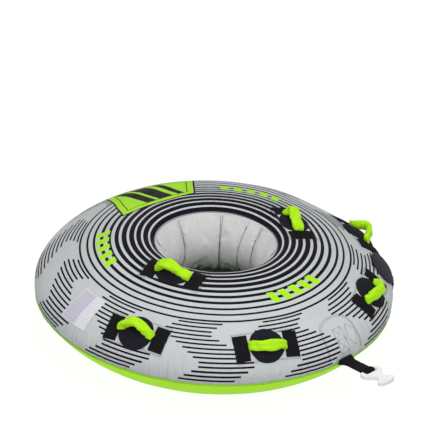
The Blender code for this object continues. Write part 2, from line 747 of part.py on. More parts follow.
def tow_connector():
    """Quick connector: a bar through the strap's loop, two arms, a neck and a wide nose."""
    outline = CONNECTOR_HALF + tuple((-x, y) for x, y in reversed(CONNECTOR_HALF[1:-1]))
    mesh = bmesh.new()
    face = mesh.faces.new([mesh.verts.new((x, LOOP_Y + y, TOW_Z - CONNECTOR_T / 2))
                           for x, y in outline])
    extruded = bmesh.ops.extrude_face_region(mesh, geom=[face])["geom"]
    bmesh.ops.translate(mesh, verts=[v for v in extruded if isinstance(v, bmesh.types.BMVert)],
                        vec=(0, 0, CONNECTOR_T))
    bmesh.ops.recalc_face_normals(mesh, faces=mesh.faces)
    rims = [e for e in mesh.edges if abs(e.verts[0].co.z - e.verts[1].co.z) < 1e-7]
    bmesh.ops.bevel(mesh, geom=rims, offset=CONNECTOR_BEVEL, segments=1, affect='EDGES')
    connector = finish("tow_connector", mesh,
                       material("connector_plastic", WHITE, rough=0.35),
                       origin=(0, LOOP_Y, TOW_Z))
    for name, y, z, size in CONNECTOR_CUTS:
        cut(connector, box(Matrix.Translation((0, LOOP_Y + y, TOW_Z + z)), size), name)


# ------------------------------------------------------------------------- zip
def zipper():
    # first step along the bottom cover that reaches the zip's radius
    dist = next(i * ZIP_SEARCH_STEP for i in range(400)
                if BOTTOM.section_point(i * ZIP_SEARCH_STEP).x <= ZIP_RADIUS)
    patch("zipper_tape", BOTTOM, about(dist, ZIP_HALF_WIDTH), ZIP_AZIMS, ZIP_TAPE_T,
          material("zipper_tape", BLACK, rough=0.8))

    around, along, out = BOTTOM.axes(dist, SLIDER_AZIM)
    r, z = BOTTOM.section_point(dist)
    angle = math.radians(SLIDER_AZIM)
    base = Vector((r * math.cos(angle), r * math.sin(angle), z))
    slider_frame = frame_at(base + out * SLIDER_LIFT, around, along, out)
    finish("zipper_slider", box(slider_frame, SLIDER_SIZE, SLIDER_BEVEL),
           material("zipper_slider_metal", BLACK, rough=0.4, metallic=0.6))
    pivot = base + out * PULL_LIFT
    pull_frame = frame_at(pivot + around * PULL_REACH, around, along, out)
    finish("zipper_pull", box(pull_frame, PULL_SIZE, PULL_BEVEL),
           material("zipper_pull_metal", BLACK, rough=0.4, metallic=0.6), origin=pivot)


# ----------------------------------------------------------------------- build
cover = shell("top_cover", top_profile(), material("top_cover_nylon", GREY, rough=0.55))
shell("bottom_cover", bottom_profile(), material("bottom_cover_nylon", GREEN, rough=0.55))
shell("hole_wall", wall_profile(), material("hole_wall_nylon", GREY, rough=0.6))
seat_floor()
rim_piping()
valve(cover, build_bladder())
valve_flap()
flap_tapes()
for _name, _azim, _dist, _lean in HANDLES:
    handle_base(_name, _azim, _dist)
    handle_grip(_name, _azim, _dist, _lean)
tow_base()
tow_strap()
tow_connector()
zipper()
patch("care_label", TOP, LABEL_DISTS, LABEL_AZIMS, LABEL_T,
      material("care_label_satin", WHITE, rough=0.6))
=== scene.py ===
"""Looks of a towable ring-shaped tube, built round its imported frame.

Metres, Z up. The hole's axis is Z, the seat floor lies at z = 0 and the tube's underside at
GROUND. The bow, with the tow strap, points along -Y. Azimuths are in degrees from +X
towards +Y. Pieces on a cover are placed by azimuth and by distance along its section.
"""
import json
import math
from functools import reduce
from operator import or_

import bmesh
import bpy
import numpy as np
from mathutils import Matrix, Vector


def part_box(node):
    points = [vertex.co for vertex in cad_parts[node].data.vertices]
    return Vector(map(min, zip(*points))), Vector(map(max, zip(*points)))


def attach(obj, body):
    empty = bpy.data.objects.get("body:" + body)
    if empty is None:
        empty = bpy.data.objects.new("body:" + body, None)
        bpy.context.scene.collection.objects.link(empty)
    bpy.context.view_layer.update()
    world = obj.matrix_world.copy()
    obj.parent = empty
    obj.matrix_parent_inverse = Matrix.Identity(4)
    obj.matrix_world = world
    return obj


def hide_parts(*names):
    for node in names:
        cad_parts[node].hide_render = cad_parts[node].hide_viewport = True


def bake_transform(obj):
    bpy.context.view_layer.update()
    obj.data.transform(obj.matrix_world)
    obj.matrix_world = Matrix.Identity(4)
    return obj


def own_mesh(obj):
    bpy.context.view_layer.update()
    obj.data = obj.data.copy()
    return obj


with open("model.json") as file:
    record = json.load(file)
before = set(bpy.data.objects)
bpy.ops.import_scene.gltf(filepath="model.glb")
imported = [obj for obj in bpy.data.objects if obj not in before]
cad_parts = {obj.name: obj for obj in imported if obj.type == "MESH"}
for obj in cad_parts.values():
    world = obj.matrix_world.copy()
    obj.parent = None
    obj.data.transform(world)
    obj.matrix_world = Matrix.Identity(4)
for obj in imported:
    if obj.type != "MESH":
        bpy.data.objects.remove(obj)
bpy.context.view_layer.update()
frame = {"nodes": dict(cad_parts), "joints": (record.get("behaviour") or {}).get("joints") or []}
rng = np.random.RandomState(7)

for stray in [o for o in bpy.data.objects if o.type in {"CAMERA", "LIGHT"}]:
    bpy.data.objects.remove(stray)

# --------------------------------------------------------------- dimensions
GROUND = -0.130
# points of the section: radius, height above the ground
MOUTH, LIP, CROWN = (0.233, 0.388), (0.244, 0.402), (0.295, 0.412)
SHOULDER, SHOULDER_SLOPE = (0.479, 0.363), math.radians(22)
EQUATOR, SEAM = (0.681, 0.191), (0.674, 0.158)
FLAT_OUTER, FLAT_INNER = (0.425, 0.0), (0.335, 0.0)
WAIST, WALL_FOOT, SKIRT_TOP = (0.180, 0.255), (0.2405, 0.1335), (0.2415, 0.1265)
# handles in the frame: azimuth, distance, lean of the grip in degrees
HANDLES = {
    "bow_left": (241.8, 0.346, 27.0),
    "bow_right": (297.7, 0.344, 39.0),
    "side_left": (193.5, 0.344, -34.0),
    "side_right": (340.0, 0.341, 46.0),
    "inner_left": (193.1, 0.036, 17.0),
    "inner_right": (338.3, 0.036, 7.0),
}
SIDES = (("left", -1), ("right", 1))
ANCHOR_WIDTH = 0.057
GRIP_HALF_SPAN, GRIP_AXIS_LIFT = 0.0705, 0.0085
VALVE_AZ, VALVE_DIST, FLAP_HALF_WIDTH, FLAP_HALF_LENGTH = 319.7, 0.384, 0.089, 0.063
TOW_Z, TOW_HINGE_RADIUS, TOW_LENGTH = 0.040, 0.7010, 0.102
LOOP_Y = -(TOW_HINGE_RADIUS + TOW_LENGTH)      # the connector's bar
ZIP_AZ, ZIP_RADIUS = (62.0, 118.0), 0.555
PRINT_TURN = 48.7       # print layout angles are measured this far round from the part's
COVER_THICKNESS = 0.0009
TO_RADIANS = math.pi / 180


# ------------------------------------------------------------------ small maths
def bezier(controls, times):
    t = np.asarray(times)[:, None]
    start, pull_a, pull_b, end = (np.array(p, float) for p in controls)
    return (((1 - t) ** 3) * start + 3 * (1 - t) ** 2 * t * pull_a
            + 3 * (1 - t) * t * t * pull_b + t ** 3 * end)


def path_lengths(points):
    """Distance along a line of points, from its first one."""
    steps = np.linalg.norm(np.diff(points, axis=0), axis=1)
    return np.concatenate([[0], np.cumsum(steps)])


def unit(vectors):
    return vectors / np.maximum(np.linalg.norm(vectors, axis=-1), 1e-9)[..., None]


def bell(offset, width):
    return np.exp(-(offset / width) ** 2)


def smoothstep(x):
    x = np.clip(x, 0, 1)
    return x * x * (3 - 2 * x)


def wrap180(degrees):
    return (degrees + 180.0) % 360.0 - 180.0


def signed_power(value, power):
    return np.sign(value) * np.abs(value) ** power


def boxy_ring(count, power_x, power_y):
    """Unit ring of count points, squarer as the powers fall."""
    angle = 2 * math.pi * np.arange(count) / count
    return signed_power(np.cos(angle), power_x), signed_power(np.sin(angle), power_y)


def polar(points):
    return np.hypot(points[:, 0], points[:, 1]), np.arctan2(points[:, 1], points[:, 0])


def uv_grid(across, down):
    return np.stack(np.broadcast_arrays(across[None, :], down[:, None]), -1)


# ------------------------------------------------------------------ skins
class Skin:
    """A turned face addressed by distance along its section and azimuth in degrees.

    pieces: (Bezier control points, number of coarse steps that set the distances).
    """

    def __init__(self, pieces, zero=None):
        points, dists, start = [], [], 0.0
        for controls, steps in pieces:
            coarse_times = np.linspace(0, 1, steps + 1)
            lengths = path_lengths(bezier(controls, coarse_times))
            times = np.linspace(0, 1, steps * 10 + 1)
            dist = start + np.interp(times, coarse_times, lengths)
            start = dist[-1]
            skip = 1 if points else 0
            points.append(bezier(controls, times)[skip:])
            dists.append(dist[skip:])
        self.points = np.concatenate(points)
        self.points[:, 1] += GROUND
        self.dist = np.concatenate(dists)
        if zero is not None:
            zero = np.array([zero[0], zero[1] + GROUND])
            self.dist = self.dist - self.dist[np.argmin(np.linalg.norm(self.points - zero, axis=1))]
        along = unit(np.gradient(self.points, self.dist, axis=0))
        kernel = np.ones(5) / 5
        along = unit(np.stack([np.convolve(np.pad(along[:, i], 2, "edge"), kernel, "valid")
                               for i in (0, 1)], 1))
        self.tangents = along
        self.normals = np.stack([-along[:, 1], along[:, 0]], 1)
        self.bump = None

    def look_up(self, table, dist):
        return [np.interp(dist, self.dist, table[:, i]) for i in (0, 1)]

    def rz(self, dist):
        return self.look_up(self.points, dist)

    def at(self, dist, azim, lift=0.0):
        dist, azim, lift = np.broadcast_arrays(*(np.asarray(a, float) for a in (dist, azim, lift)))
        radius, height = self.rz(dist)
        normal_r, normal_z = self.look_up(self.normals, dist)
        if self.bump is not None:
            lift = lift + self.bump(dist, azim)
        radius, height = radius + normal_r * lift, height + normal_z * lift
        angle = np.radians(azim)
        return np.stack([radius * np.cos(angle), radius * np.sin(angle), height], -1)

    def axes(self, dist, azim):
        """Unit vectors: around, onwards along the section, outwards."""
        cos, sin = math.cos(math.radians(azim)), math.sin(math.radians(azim))
        down, out = (Vector((r * cos, r * sin, z)).normalized()
                     for r, z in (self.look_up(self.tangents, dist),
                                  self.look_up(self.normals, dist)))
        return Vector((-sin, cos, 0)), down, out

    def line(self, dist, azim, lift=0.0006):
        """Points and outward normals along a line on the skin."""
        points = self.at(dist, azim, lift)
        return points, self.at(dist, azim, lift + 0.01) - points


SLOPE_COS, SLOPE_SIN = math.cos(SHOULDER_SLOPE), math.sin(SHOULDER_SLOPE)
SEAM_TOP = (SEAM[0] + 0.0008, SEAM[1] + 0.0016)
SEAM_LOW = (SEAM[0] - 0.0006, SEAM[1] - 0.0016)
WALL_TOP = (MOUTH[0] - 0.0012, MOUTH[1] - 0.0010)
TOP = Skin([
    ((MOUTH, (0.2330, 0.3940), (0.2385, 0.3990), LIP), 1),
    ((LIP, (LIP[0] + 0.012, LIP[1] + 0.010), (CROWN[0] - 0.020, CROWN[1]), CROWN), 2),
    ((CROWN, (CROWN[0] + 0.050, CROWN[1]),
      (SHOULDER[0] - 0.050 * SLOPE_COS, SHOULDER[1] + 0.050 * SLOPE_SIN), SHOULDER), 3),
    ((SHOULDER, (SHOULDER[0] + 0.075 * SLOPE_COS, SHOULDER[1] - 0.075 * SLOPE_SIN),
      (EQUATOR[0], EQUATOR[1] + 0.073), EQUATOR), 6),
    ((EQUATOR, (EQUATOR[0] - 0.0003, EQUATOR[1] - 0.012),
      (SEAM[0] + 0.0052, SEAM[1] + 0.012), SEAM_TOP), 3),
], zero=CROWN)
BOTTOM = Skin([
    ((SEAM_LOW, (0.627, 0.078), (0.490, 0.0), FLAT_OUTER), 5),
    ((FLAT_OUTER, (0.395, 0.0), (0.365, 0.0), FLAT_INNER), 1),
    ((FLAT_INNER, (0.290, 0.002), (0.252, 0.060), SKIRT_TOP), 3),
])
WALL = Skin([
    ((WALL_FOOT, (0.206, 0.165), (WAIST[0], 0.210), WAIST), 3),
    ((WAIST, (WAIST[0], 0.310), (0.212, 0.352), WALL_TOP), 3),
])
MOUTH_DIST, RIM_DIST = TOP.dist[0], TOP.dist[-1]

# creases that run out from the rim seam: azimuth, width in degrees, depth, length
CREASE_COUNT = 132
CREASES = list(zip(
    (np.arange(CREASE_COUNT) + rng.uniform(-0.38, 0.38, CREASE_COUNT)) * 360 / CREASE_COUNT,
    rng.uniform(0.45, 1.05, CREASE_COUNT),
    rng.uniform(0.0005, 0.0026, CREASE_COUNT),
    rng.uniform(0.016, 0.065, CREASE_COUNT)))
TUCKS = [(k * 23.5 - 4.0) % 360 for k in range(15)]
# slow waves of the blown-up cover: count round, two phases, waves per metre (radians)
WAVES = [(rng.randint(3, 17), rng.uniform(0, 6.28), rng.uniform(0, 6.28), rng.uniform(4, 15))
         for _ in range(10)]


def unevenness(dist, azim):
    height = 0.0
    for count, phase_az, phase_dist, rate in WAVES:
        height = height + np.sin(np.radians(azim) * count + phase_az) * np.sin(dist * rate + phase_dist)
    return height / len(WAVES)


def crease(height, azim, from_seam, depth_scale=1.0, length_scale=1.0):
    for centre, width, depth, length in CREASES:
        height = height - (depth_scale * depth * bell(wrap180(azim - centre), width)
                           * np.exp(-np.clip(from_seam, 0, 1) / (length_scale * length)))
    return height


def top_bump(dist, azim):
    height = 0.0021 * unevenness(dist, azim)
    # the flank between azimuths 0 and 115 is blown up a little fuller
    turn = wrap180(azim - 41.0)
    flank = np.clip((dist - 0.110) / 0.130, 0, 1) * np.clip((RIM_DIST - dist) / 0.090, 0, 1)
    height = height + (0.0105 * smoothstep((turn + 41.0) / 24.0) * smoothstep((74.0 - turn) / 56.0)
                       * smoothstep(flank))
    height = crease(height, azim, RIM_DIST - dist)
    for centre in TUCKS:                 # small tucks sewn into the flank
        height = height - (0.0011 * bell(wrap180(azim - centre), 0.42)
                           * np.clip((dist - 0.400) / 0.05, 0, 1))
    for centre, middle, _ in HANDLES.values():    # sewn handles hold the cover down a little
        radius = np.interp(middle, TOP.dist, TOP.points[:, 0])
        for _, sign in SIDES:
            anchor = centre + sign * math.degrees(0.126 / radius)
            height = height - 0.0014 * np.exp(-(wrap180(azim - anchor) / 1.1) ** 2
                                              - ((dist - middle) / 0.050) ** 4)
    return height


def bottom_bump(dist, azim):
    height = crease(0.0012 * unevenness(dist + 3.1, azim), azim, dist, 1.2, 0.8)
    return height * np.clip((0.62 - dist) / 0.1, 0, 1)


TOP.bump, BOTTOM.bump = top_bump, bottom_bump


class Laid:
    """A flat piece laid on the top cover: x around and y down from its centre, in metres."""

    def __init__(self, azim, dist, turn=0.0):
        self.azim, self.dist = azim, dist
        self.radius = float(TOP.rz(dist)[0])
        self.slope = float(TOP.look_up(TOP.tangents, dist)[0])
        self.bow = self.slope / self.radius        # a straight cut bows this much on the cone
        self.cos, self.sin = math.cos(math.radians(turn)), math.sin(math.radians(turn))

    def on_cover(self, x, y):
        """Distance and azimuth of a point of the piece."""
        x, y = np.asarray(x, float), np.asarray(y, float)
        around, down = x * self.cos - y * self.sin, x * self.sin + y * self.cos
        dist = self.dist + down + self.bow * around * around / 2
        radius = (TOP.rz(dist)[0] + TOP.rz(self.dist + down)[0]) / 2
        return dist, self.azim + np.degrees(around / radius)

    def at(self, x, y, lift):
        return TOP.at(*self.on_cover(x, y), lift)

    def line(self, x, y, lift):
        return TOP.line(*self.on_cover(x, y), lift)


# -------------------------------------------------------------- mesh helpers
def link(mesh, name):
    ob = bpy.data.objects.new(name, mesh)
    bpy.context.scene.collection.objects.link(ob)
    return ob


def bmesh_object(name, bm):
    mesh = bpy.data.meshes.new(name)
    bm.to_mesh(mesh)
    bm.free()
    return link(mesh, name)


def solid(name, verts, faces, mat, uvs=None, uvname="cloth", smooth=60.0):
    """Object from vertices, (F, k) face arrays and matching (F, k, 2) uv arrays.

    Faces are turned so that the enclosed volume is positive.
    """
    verts = np.asarray(verts, float)
    faces = [np.asarray(f, np.int64) for f in faces]
    volume = 0.0
    for group in faces:
        corner = verts[group]
        for k in range(1, group.shape[1] - 1):
            volume += np.einsum("ij,ij->i", corner[:, 0],
                                np.cross(corner[:, k], corner[:, k + 1])).sum()
    if volume < 0:
        faces = [f[:, ::-1] for f in faces]
        uvs = [u[:, ::-1] for u in uvs] if uvs is not None else None
    mesh = bpy.data.meshes.new(name)
    mesh.vertices.add(len(verts))
    mesh.vertices.foreach_set("co", verts.astype(np.float32).ravel())
    loops = np.concatenate([f.ravel() for f in faces])
    sizes = np.concatenate([np.full(len(f), f.shape[1]) for f in faces])
    starts = np.concatenate([[0], np.cumsum(sizes)[:-1]])
    mesh.loops.add(len(loops))
    mesh.loops.foreach_set("vertex_index", loops.astype(np.int32))
    mesh.polygons.add(len(sizes))
    mesh.polygons.foreach_set("loop_start", starts.astype(np.int32))
    mesh.update(calc_edges=True)
    mesh.validate()
    if uvs is not None:
        layer = mesh.uv_layers.new(name=uvname)
        flat = np.concatenate([u.reshape(-1, 2) for u in uvs])
        layer.data.foreach_set("uv", flat.astype(np.float32).ravel())
    mesh.shade_smooth()
    if smooth:
        mesh.set_sharp_from_angle(angle=math.radians(smooth))
    if mat is not None:
        mesh.materials.append(mat)
    return link(mesh, name)


def grid_corners(rows, cols, wrap):
    """(row, column) of the four corners of each cell; a wrapped grid ends at column cols."""
    i, j = np.meshgrid(np.arange(rows - 1), np.arange(cols if wrap else cols - 1), indexing="ij")
    i, j = i.ravel(), j.ravel()
    return np.stack([np.stack(p, 1) for p in ((i, j), (i + 1, j), (i + 1, j + 1), (i, j + 1))], 1)


def vertex_of(corners, rows, cols):
    return (corners[..., 0] % rows) * cols + corners[..., 1] % cols


def pick_uv(uv, corners):
    return [uv[c[..., 0], c[..., 1]] for c in corners] if uv is not None else None


def sheet(name, outer, inner, mat, wrap=False, uv=None, uvname="cloth", smooth=60.0):
    """Closed thin solid from an outer and an inner grid of points (rows, cols, 3)."""
    rows, cols = outer.shape[:2]
    count = rows * cols
    cells = grid_corners(rows, cols, wrap)
    corners = [cells, cells[:, ::-1]]
    faces = [vertex_of(cells, rows, cols), vertex_of(cells, rows, cols)[:, ::-1] + count]
    along = np.arange(cols if wrap else cols - 1)
    edges = [((along * 0 + row, along), (along * 0 + row, along + 1), row > 0)
             for row in (0, rows - 1)]
    if not wrap:
        down = np.arange(rows - 1)
        edges += [((down, down * 0 + col), (down + 1, down * 0 + col), col == 0)
                  for col in (0, cols - 1)]
    for start, end, flip in edges:
        strip = np.stack([np.stack(p, 1) for p in (start, end, end, start)], 1)
        face = vertex_of(strip, rows, cols) + np.array([0, 0, count, count])
        step = -1 if flip else 1
        corners.append(strip[:, ::step])
        faces.append(face[:, ::step])
    verts = np.concatenate([outer.reshape(-1, 3), inner.reshape(-1, 3)])
    return solid(name, verts, faces, mat, pick_uv(uv, corners), uvname, smooth)


def tube(name, points, mat, uv=None, smooth=60.0):
    """Closed solid through rings of points (rows, cols, 3), each end closed by a fan."""
    rows, cols = points.shape[:2]
    cells = grid_corners(rows, cols, True)
    if uv is None:
        middle = points[rows // 2]
        uv = uv_grid(path_lengths(np.concatenate([middle, middle[:1]])),
                     path_lengths(points.mean(1)))
    faces, uvs = [vertex_of(cells, rows, cols)], pick_uv(uv, [cells])
    verts = np.concatenate([points.reshape(-1, 3), points[0].mean(0)[None],
                            points[-1].mean(0)[None]])
    j = np.arange(cols)
    for row, centre, step in ((0, rows * cols, 1), (rows - 1, rows * cols + 1, -1)):
        fan = np.stack([row * cols + j, row * cols + (j + 1) % cols, j * 0 + centre], 1)
        faces.append(fan[:, ::step])
        uvs.append(np.broadcast_to(uv[row, 0], (cols, 3, 2)))
    return solid(name, verts, faces, mat, uvs, "cloth", smooth)


def torus(name, points, mat, uv=None, smooth=60.0):
    """Solid from rings of points (rows, cols, 3) that closes both ways."""
    rows, cols = points.shape[:2]
    cells = grid_corners(rows + 1, cols, True)
    return solid(name, points.reshape(-1, 3), [vertex_of(cells, rows, cols)], mat,
                 pick_uv(uv, [cells]), smooth=smooth)


def disc_grid(rings, around):
    """Unit-disc points, centre first, and the faces of two such layers joined at the rim."""
    rho = np.array(rings, float)
    turn = np.linspace(0, 2 * np.pi, around, endpoint=False)
    points = np.concatenate([[[0, 0]], np.stack([np.outer(rho, np.cos(turn)).ravel(),
                                                 np.outer(rho, np.sin(turn)).ravel()], 1)])
    j, count = np.arange(around), len(points)
    fan = np.stack([j * 0, 1 + j, 1 + (j + 1) % around], 1)
    quads = vertex_of(grid_corners(len(rho), around, True), len(rho), around) + 1
    edge = np.arange(count - around, count)
    after = np.roll(edge, -1)
    rim = np.stack([edge, after, after + count, edge + count], 1)
    return points, [fan, quads, fan[:, ::-1] + count, quads[:, ::-1] + count, rim[:, ::-1]]


def ride(ob, body, slot, *replaced):
    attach(ob, body)
    if replaced:
        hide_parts(*replaced)


def stitches(name, lines, mat, slot, body="tube", length=0.0036, gap=0.0018, radius=0.00045):
    """Thread: one small spindle per stitch along each line of (points, normals)."""
    starts, ends, normals = [], [], []
    for points, ups in lines:
        along = path_lengths(points)
        count = max(1, int(along[-1] / (length + gap)))
        start = (np.arange(count) + 0.15) * along[-1] / count
        end = start + length * (along[-1] / count) / (length + gap)
        for store, place, table in ((starts, start, points), (ends, end, points),
                                    (normals, (start + end) / 2, ups)):
            store.append(np.stack([np.interp(place, along, table[:, k]) for k in range(3)], 1))
    start, end = np.concatenate(starts), np.concatenate(ends)
    normal = unit(np.concatenate(normals))
    side = unit(np.cross(normal, unit(end - start)))
    verts = [start - normal * radius]
    for part in (0.22, 0.78):
        centre = start + (end - start) * part + normal * radius * 0.35
        for across, rise in ((1, 0), (0, 1), (-1, 0), (0, -1)):
            verts.append(centre + (side * across + normal * rise) * radius)
    verts.append(end - normal * radius)
    verts = np.stack(verts, 1)
    base = (np.arange(len(verts)) * 10)[:, None]
    turn = [(k, (k + 1) % 4) for k in range(4)]
    quads = np.concatenate([base + np.array([[1 + k, 5 + k, 5 + n, 1 + n]]) for k, n in turn])
    tris = np.concatenate([base + np.array([[0, 1 + k, 1 + n]]) for k, n in turn]
                          + [base + np.array([[9, 5 + n, 5 + k]]) for k, n in turn])
    ride(solid(name, verts.reshape(-1, 3), [quads, tris], mat, smooth=None), body, slot)


def cover_path(corners, closed, lift, step):
    """The (distance, azimuth) polygon as a dense line on the top cover."""
    path = list(corners) + ([corners[0]] if closed else [])
    dists, azims = [], []
    for (dist_a, az_a), (dist_b, az_b) in zip(path, path[1:]):
        radius = TOP.rz((dist_a + dist_b) / 2)[0]
        length = math.hypot(dist_b - dist_a, math.radians(az_b - az_a) * radius)
        part = np.linspace(0, 1, max(2, int(length / step)))
        dists.append(dist_a + (dist_b - dist_a) * part)
        azims.append(az_a + (az_b - az_a) * part)
    return TOP.line(np.concatenate(dists), np.concatenate(azims), lift)


def stitch_box(laid, centre, half_width, half_length, lift):
    """Four sewn lines round a rectangle centred at x = centre, y = 0 on a laid piece."""
    left, right = centre - half_width, centre + half_width
    path = [(left, -half_length), (right, -half_length), (right, half_length),
            (left, half_length), (left, -half_length)]
    lines = []
    for (x_a, y_a), (x_b, y_b) in zip(path, path[1:]):
        part = np.linspace(0, 1, max(3, int(math.hypot(x_b - x_a, y_b - y_a) / 0.004)))
        lines.append(laid.line(x_a + (x_b - x_a) * part, y_a + (y_b - y_a) * part, lift))
    return lines


# -------------------------------------------------------------- shader helpers
def put(tree, socket, value):
    if isinstance(value, Value):
        tree.links.new(value.socket, socket)
    else:
        if socket.type == "RGBA" and len(value) == 3:
            value = (*value, 1.0)
        socket.default_value = value


def math_node(tree, operation, *values):
    node = tree.nodes.new("ShaderNodeMath")
    node.operation = operation
    for socket, value in zip(node.inputs, values):
        put(tree, socket, value)
    return Value(tree, node.outputs[0])


class Value:
    """A shader socket in arithmetic: each operator adds one Math node. & and | join masks."""

    def __init__(self, tree, socket):
        self.tree, self.socket = tree, socket

    def math(self, operation, *others):
        return math_node(self.tree, operation, self, *others)

    def __add__(self, other):
        return self.math("ADD", other)

    def __sub__(self, other):
        return self.math("SUBTRACT", other)

    def __rsub__(self, other):
        return math_node(self.tree, "SUBTRACT", other, self)

    def __mul__(self, other):
        return self.math("MULTIPLY", other)

    def __truediv__(self, other):
        return self.math("DIVIDE", other)

    def __lt__(self, other):
        return self.math("LESS_THAN", other)

    def __gt__(self, other):
        return self.math("GREATER_THAN", other)

    def __and__(self, other):
        return self.math("MULTIPLY", other)

    def __or__(self, other):
        return self.math("MAXIMUM", other)

    def __abs__(self):
        return self.math("ABSOLUTE")

    def mul_add(self, factor, addend):
        return self.math("MULTIPLY_ADD", factor, addend)

    def at_least(self, low):
        return self.math("MAXIMUM", low)

    def at_most(self, high):
        return self.math("MINIMUM", high)


class Shader:
    """A material under construction; its methods add nodes and return their outputs."""

    def __init__(self, name):
        self.mat = bpy.data.materials.new(name)
        self.mat.use_nodes = True
        self.tree = self.mat.node_tree
        self.bsdf = self.tree.nodes["Principled BSDF"]

    def new(self, kind, *values, output=0, **props):
        """Node with its first inputs set to values."""
        node = self.tree.nodes.new(kind)
        for key, value in props.items():
            setattr(node, key, value)
        for socket, value in zip(node.inputs, values):
            put(self.tree, socket, value)
        return Value(self.tree, node.outputs[output])

    def mix(self, factor, colour_a, colour_b, blend="MIX"):
        node = self.tree.nodes.new("ShaderNodeMix")
        node.data_type, node.blend_type = "RGBA", blend
        for index, value in ((0, factor), (6, colour_a), (7, colour_b)):
            put(self.tree, node.inputs[index], value)
        return Value(self.tree, node.outputs[2])

    def combine(self, *values):
        return self.new("ShaderNodeCombineXYZ", *values)

    def dim(self, colour, factor):
        return self.mix(1.0, colour, self.combine(factor, factor, factor), "MULTIPLY")

    def uv(self, name):
        split = self.tree.nodes.new("ShaderNodeSeparateXYZ")
        put(self.tree, split.inputs[0], self.new("ShaderNodeUVMap", uv_map=name))
        return Value(self.tree, split.outputs[0]), Value(self.tree, split.outputs[1])

    def place(self):
        return self.new("ShaderNodeTexCoord", output="Object")

    def noise(self, scale, detail=2.0, rough=0.5, place=None):
        node = self.tree.nodes.new("ShaderNodeTexNoise")
        for key, value in (("Vector", place or self.place()), ("Scale", scale),
                           ("Detail", detail), ("Roughness", rough)):
            put(self.tree, node.inputs[key], value)
        return Value(self.tree, node.outputs[0])

    def span(self, value, low, high, to_low=0.0, to_high=1.0):
        return self.new("ShaderNodeMapRange", value, low, high, to_low, to_high)

    def curve(self, value, points, handles):
        """Float curve through points, both axes 0..1."""
        node = self.tree.nodes.new("ShaderNodeFloatCurve")
        line = node.mapping.curves[0]
        line.points[0].location, line.points[1].location = points[0], points[-1]
        for x, y in points[1:-1]:
            line.points.new(x, y)
        for point in line.points:
            point.handle_type = handles
        node.mapping.update()
        put(self.tree, node.inputs[1], value)
        return Value(self.tree, node.outputs[0])

    def set(self, **inputs):
        """Inputs of the surface, with _ for each space in a name."""
        for key, value in inputs.items():
            put(self.tree, self.bsdf.inputs[key.replace("_", " ")], value)

    def finish(self, colour, rough, height=None, depth=0.001, strength=1.0,
               sheen=0.0, spec=None, metallic=None):
        self.set(Base_Color=colour, Roughness=rough)
        if sheen:
            self.set(Sheen_Weight=sheen, Sheen_Roughness=0.4)
        if spec is not None:
            self.set(Specular_IOR_Level=spec)
        if metallic is not None:
            self.set(Metallic=metallic)
        if height is not None:
            bump = self.tree.nodes.new("ShaderNodeBump")
            for key, value in (("Strength", strength), ("Distance", depth), ("Height", height)):
                put(self.tree, bump.inputs[key], value)
            self.set(Normal=Value(self.tree, bump.outputs[0]))
        return self.mat


def shade(colour, factor):
    return tuple(c * factor for c in colour)


# ------------------------------------------------------------------ materials
GREY = (0.600, 0.630, 0.640)
INK = (0.008, 0.006, 0.013)
LIME = (0.440, 0.900, 0.008)
LIME_DEEP = (0.300, 0.700, 0.006)
GREEN = (0.500, 0.980, 0.006)
WEAVE_PITCH = 0.0011


def nylon_base(shader, colour, across, along):
    """Coated nylon: faint weave, slow tint changes, scuffs. Returns colour, roughness, height."""
    big = shader.noise(5.0, 3.0)
    mid = shader.noise(38.0, 4.0, 0.6)
    tint = shader.span(big, 0.3, 0.7, 0.955, 1.03) * shader.span(mid, 0.3, 0.7, 0.975, 1.02)
    colour = shader.dim(colour, tint)
    rate = 2 * math.pi / WEAVE_PITCH
    weave = ((across * rate).math("SINE") * (along * rate).math("SINE")).mul_add(0.5, 0.5)
    height = weave * 0.05 + mid * 0.5
    return colour, shader.span(shader.noise(90.0, 2.0), 0.3, 0.7, 0.46, 0.62), height


# outward slip of the print: azimuth, millimetres
PRINT_SLIP = (
    (0.0, -1.0), (30.0, 1.5), (60.0, 2.0), (104.0, 4.0), (128.0, 7.0), (152.0, 9.2),
    (168.0, 9.7), (192.0, 8.6), (212.0, 7.6), (240.0, 8.0), (264.0, 10.0), (280.0, 8.6),
    (304.0, 6.6), (328.0, 3.2), (352.0, -0.6), (360.0, -1.0))
# drift of the stripe zones, as the panels are not equally wide: azimuth, degrees
ZONE_DRIFT = (
    (0.0, 0.0), (111.0, 0.0), (127.7, 0.0), (143.3, -1.5), (160.3, -3.0), (193.1, -2.0),
    (225.8, 0.0), (258.5, 2.5), (291.2, 2.75), (323.0, 0.6), (345.0, 0.0), (360.0, 0.0))
# start of the zone in each of the stripe rows, inner row first: degrees
ZONE_EDGE = (0.0, -2.2, -4.1, -4.1, -1.3, 1.1, 3.6, 5.6, 7.5, 9.5, 9.5, 7.5, 5.3, 3.6)
LAST_ROW = len(ZONE_EDGE) - 1
# ring k lies at START + PITCH k + GROWTH k^2
RING_START, RING_PITCH, RING_GROWTH, RINGS_END = -0.0602, 0.02676, 0.000168, 0.2350
RING_WIDTH, RING_WIDTH_AT, RING_THINNING, RING_WIDTH_MAX = 0.0180, 0.0486, -4.69, 0.0190
STRIPES_FROM, STRIPE_FIRST, STRIPE_PITCH, STRIPE_HALF = 0.2330, 0.2379, 0.01795, 0.0036
ZONE_START, ZONE_PERIOD, ZONE_WIDTH = 274.5 - PRINT_TURN, 360.0 / 11, 17.2
MARK_STARTS, MARK_PITCH, MARK_DIST, MARK_HALF = (300.0, 173.5, 57.5), 6.9, 0.1320, 0.0255
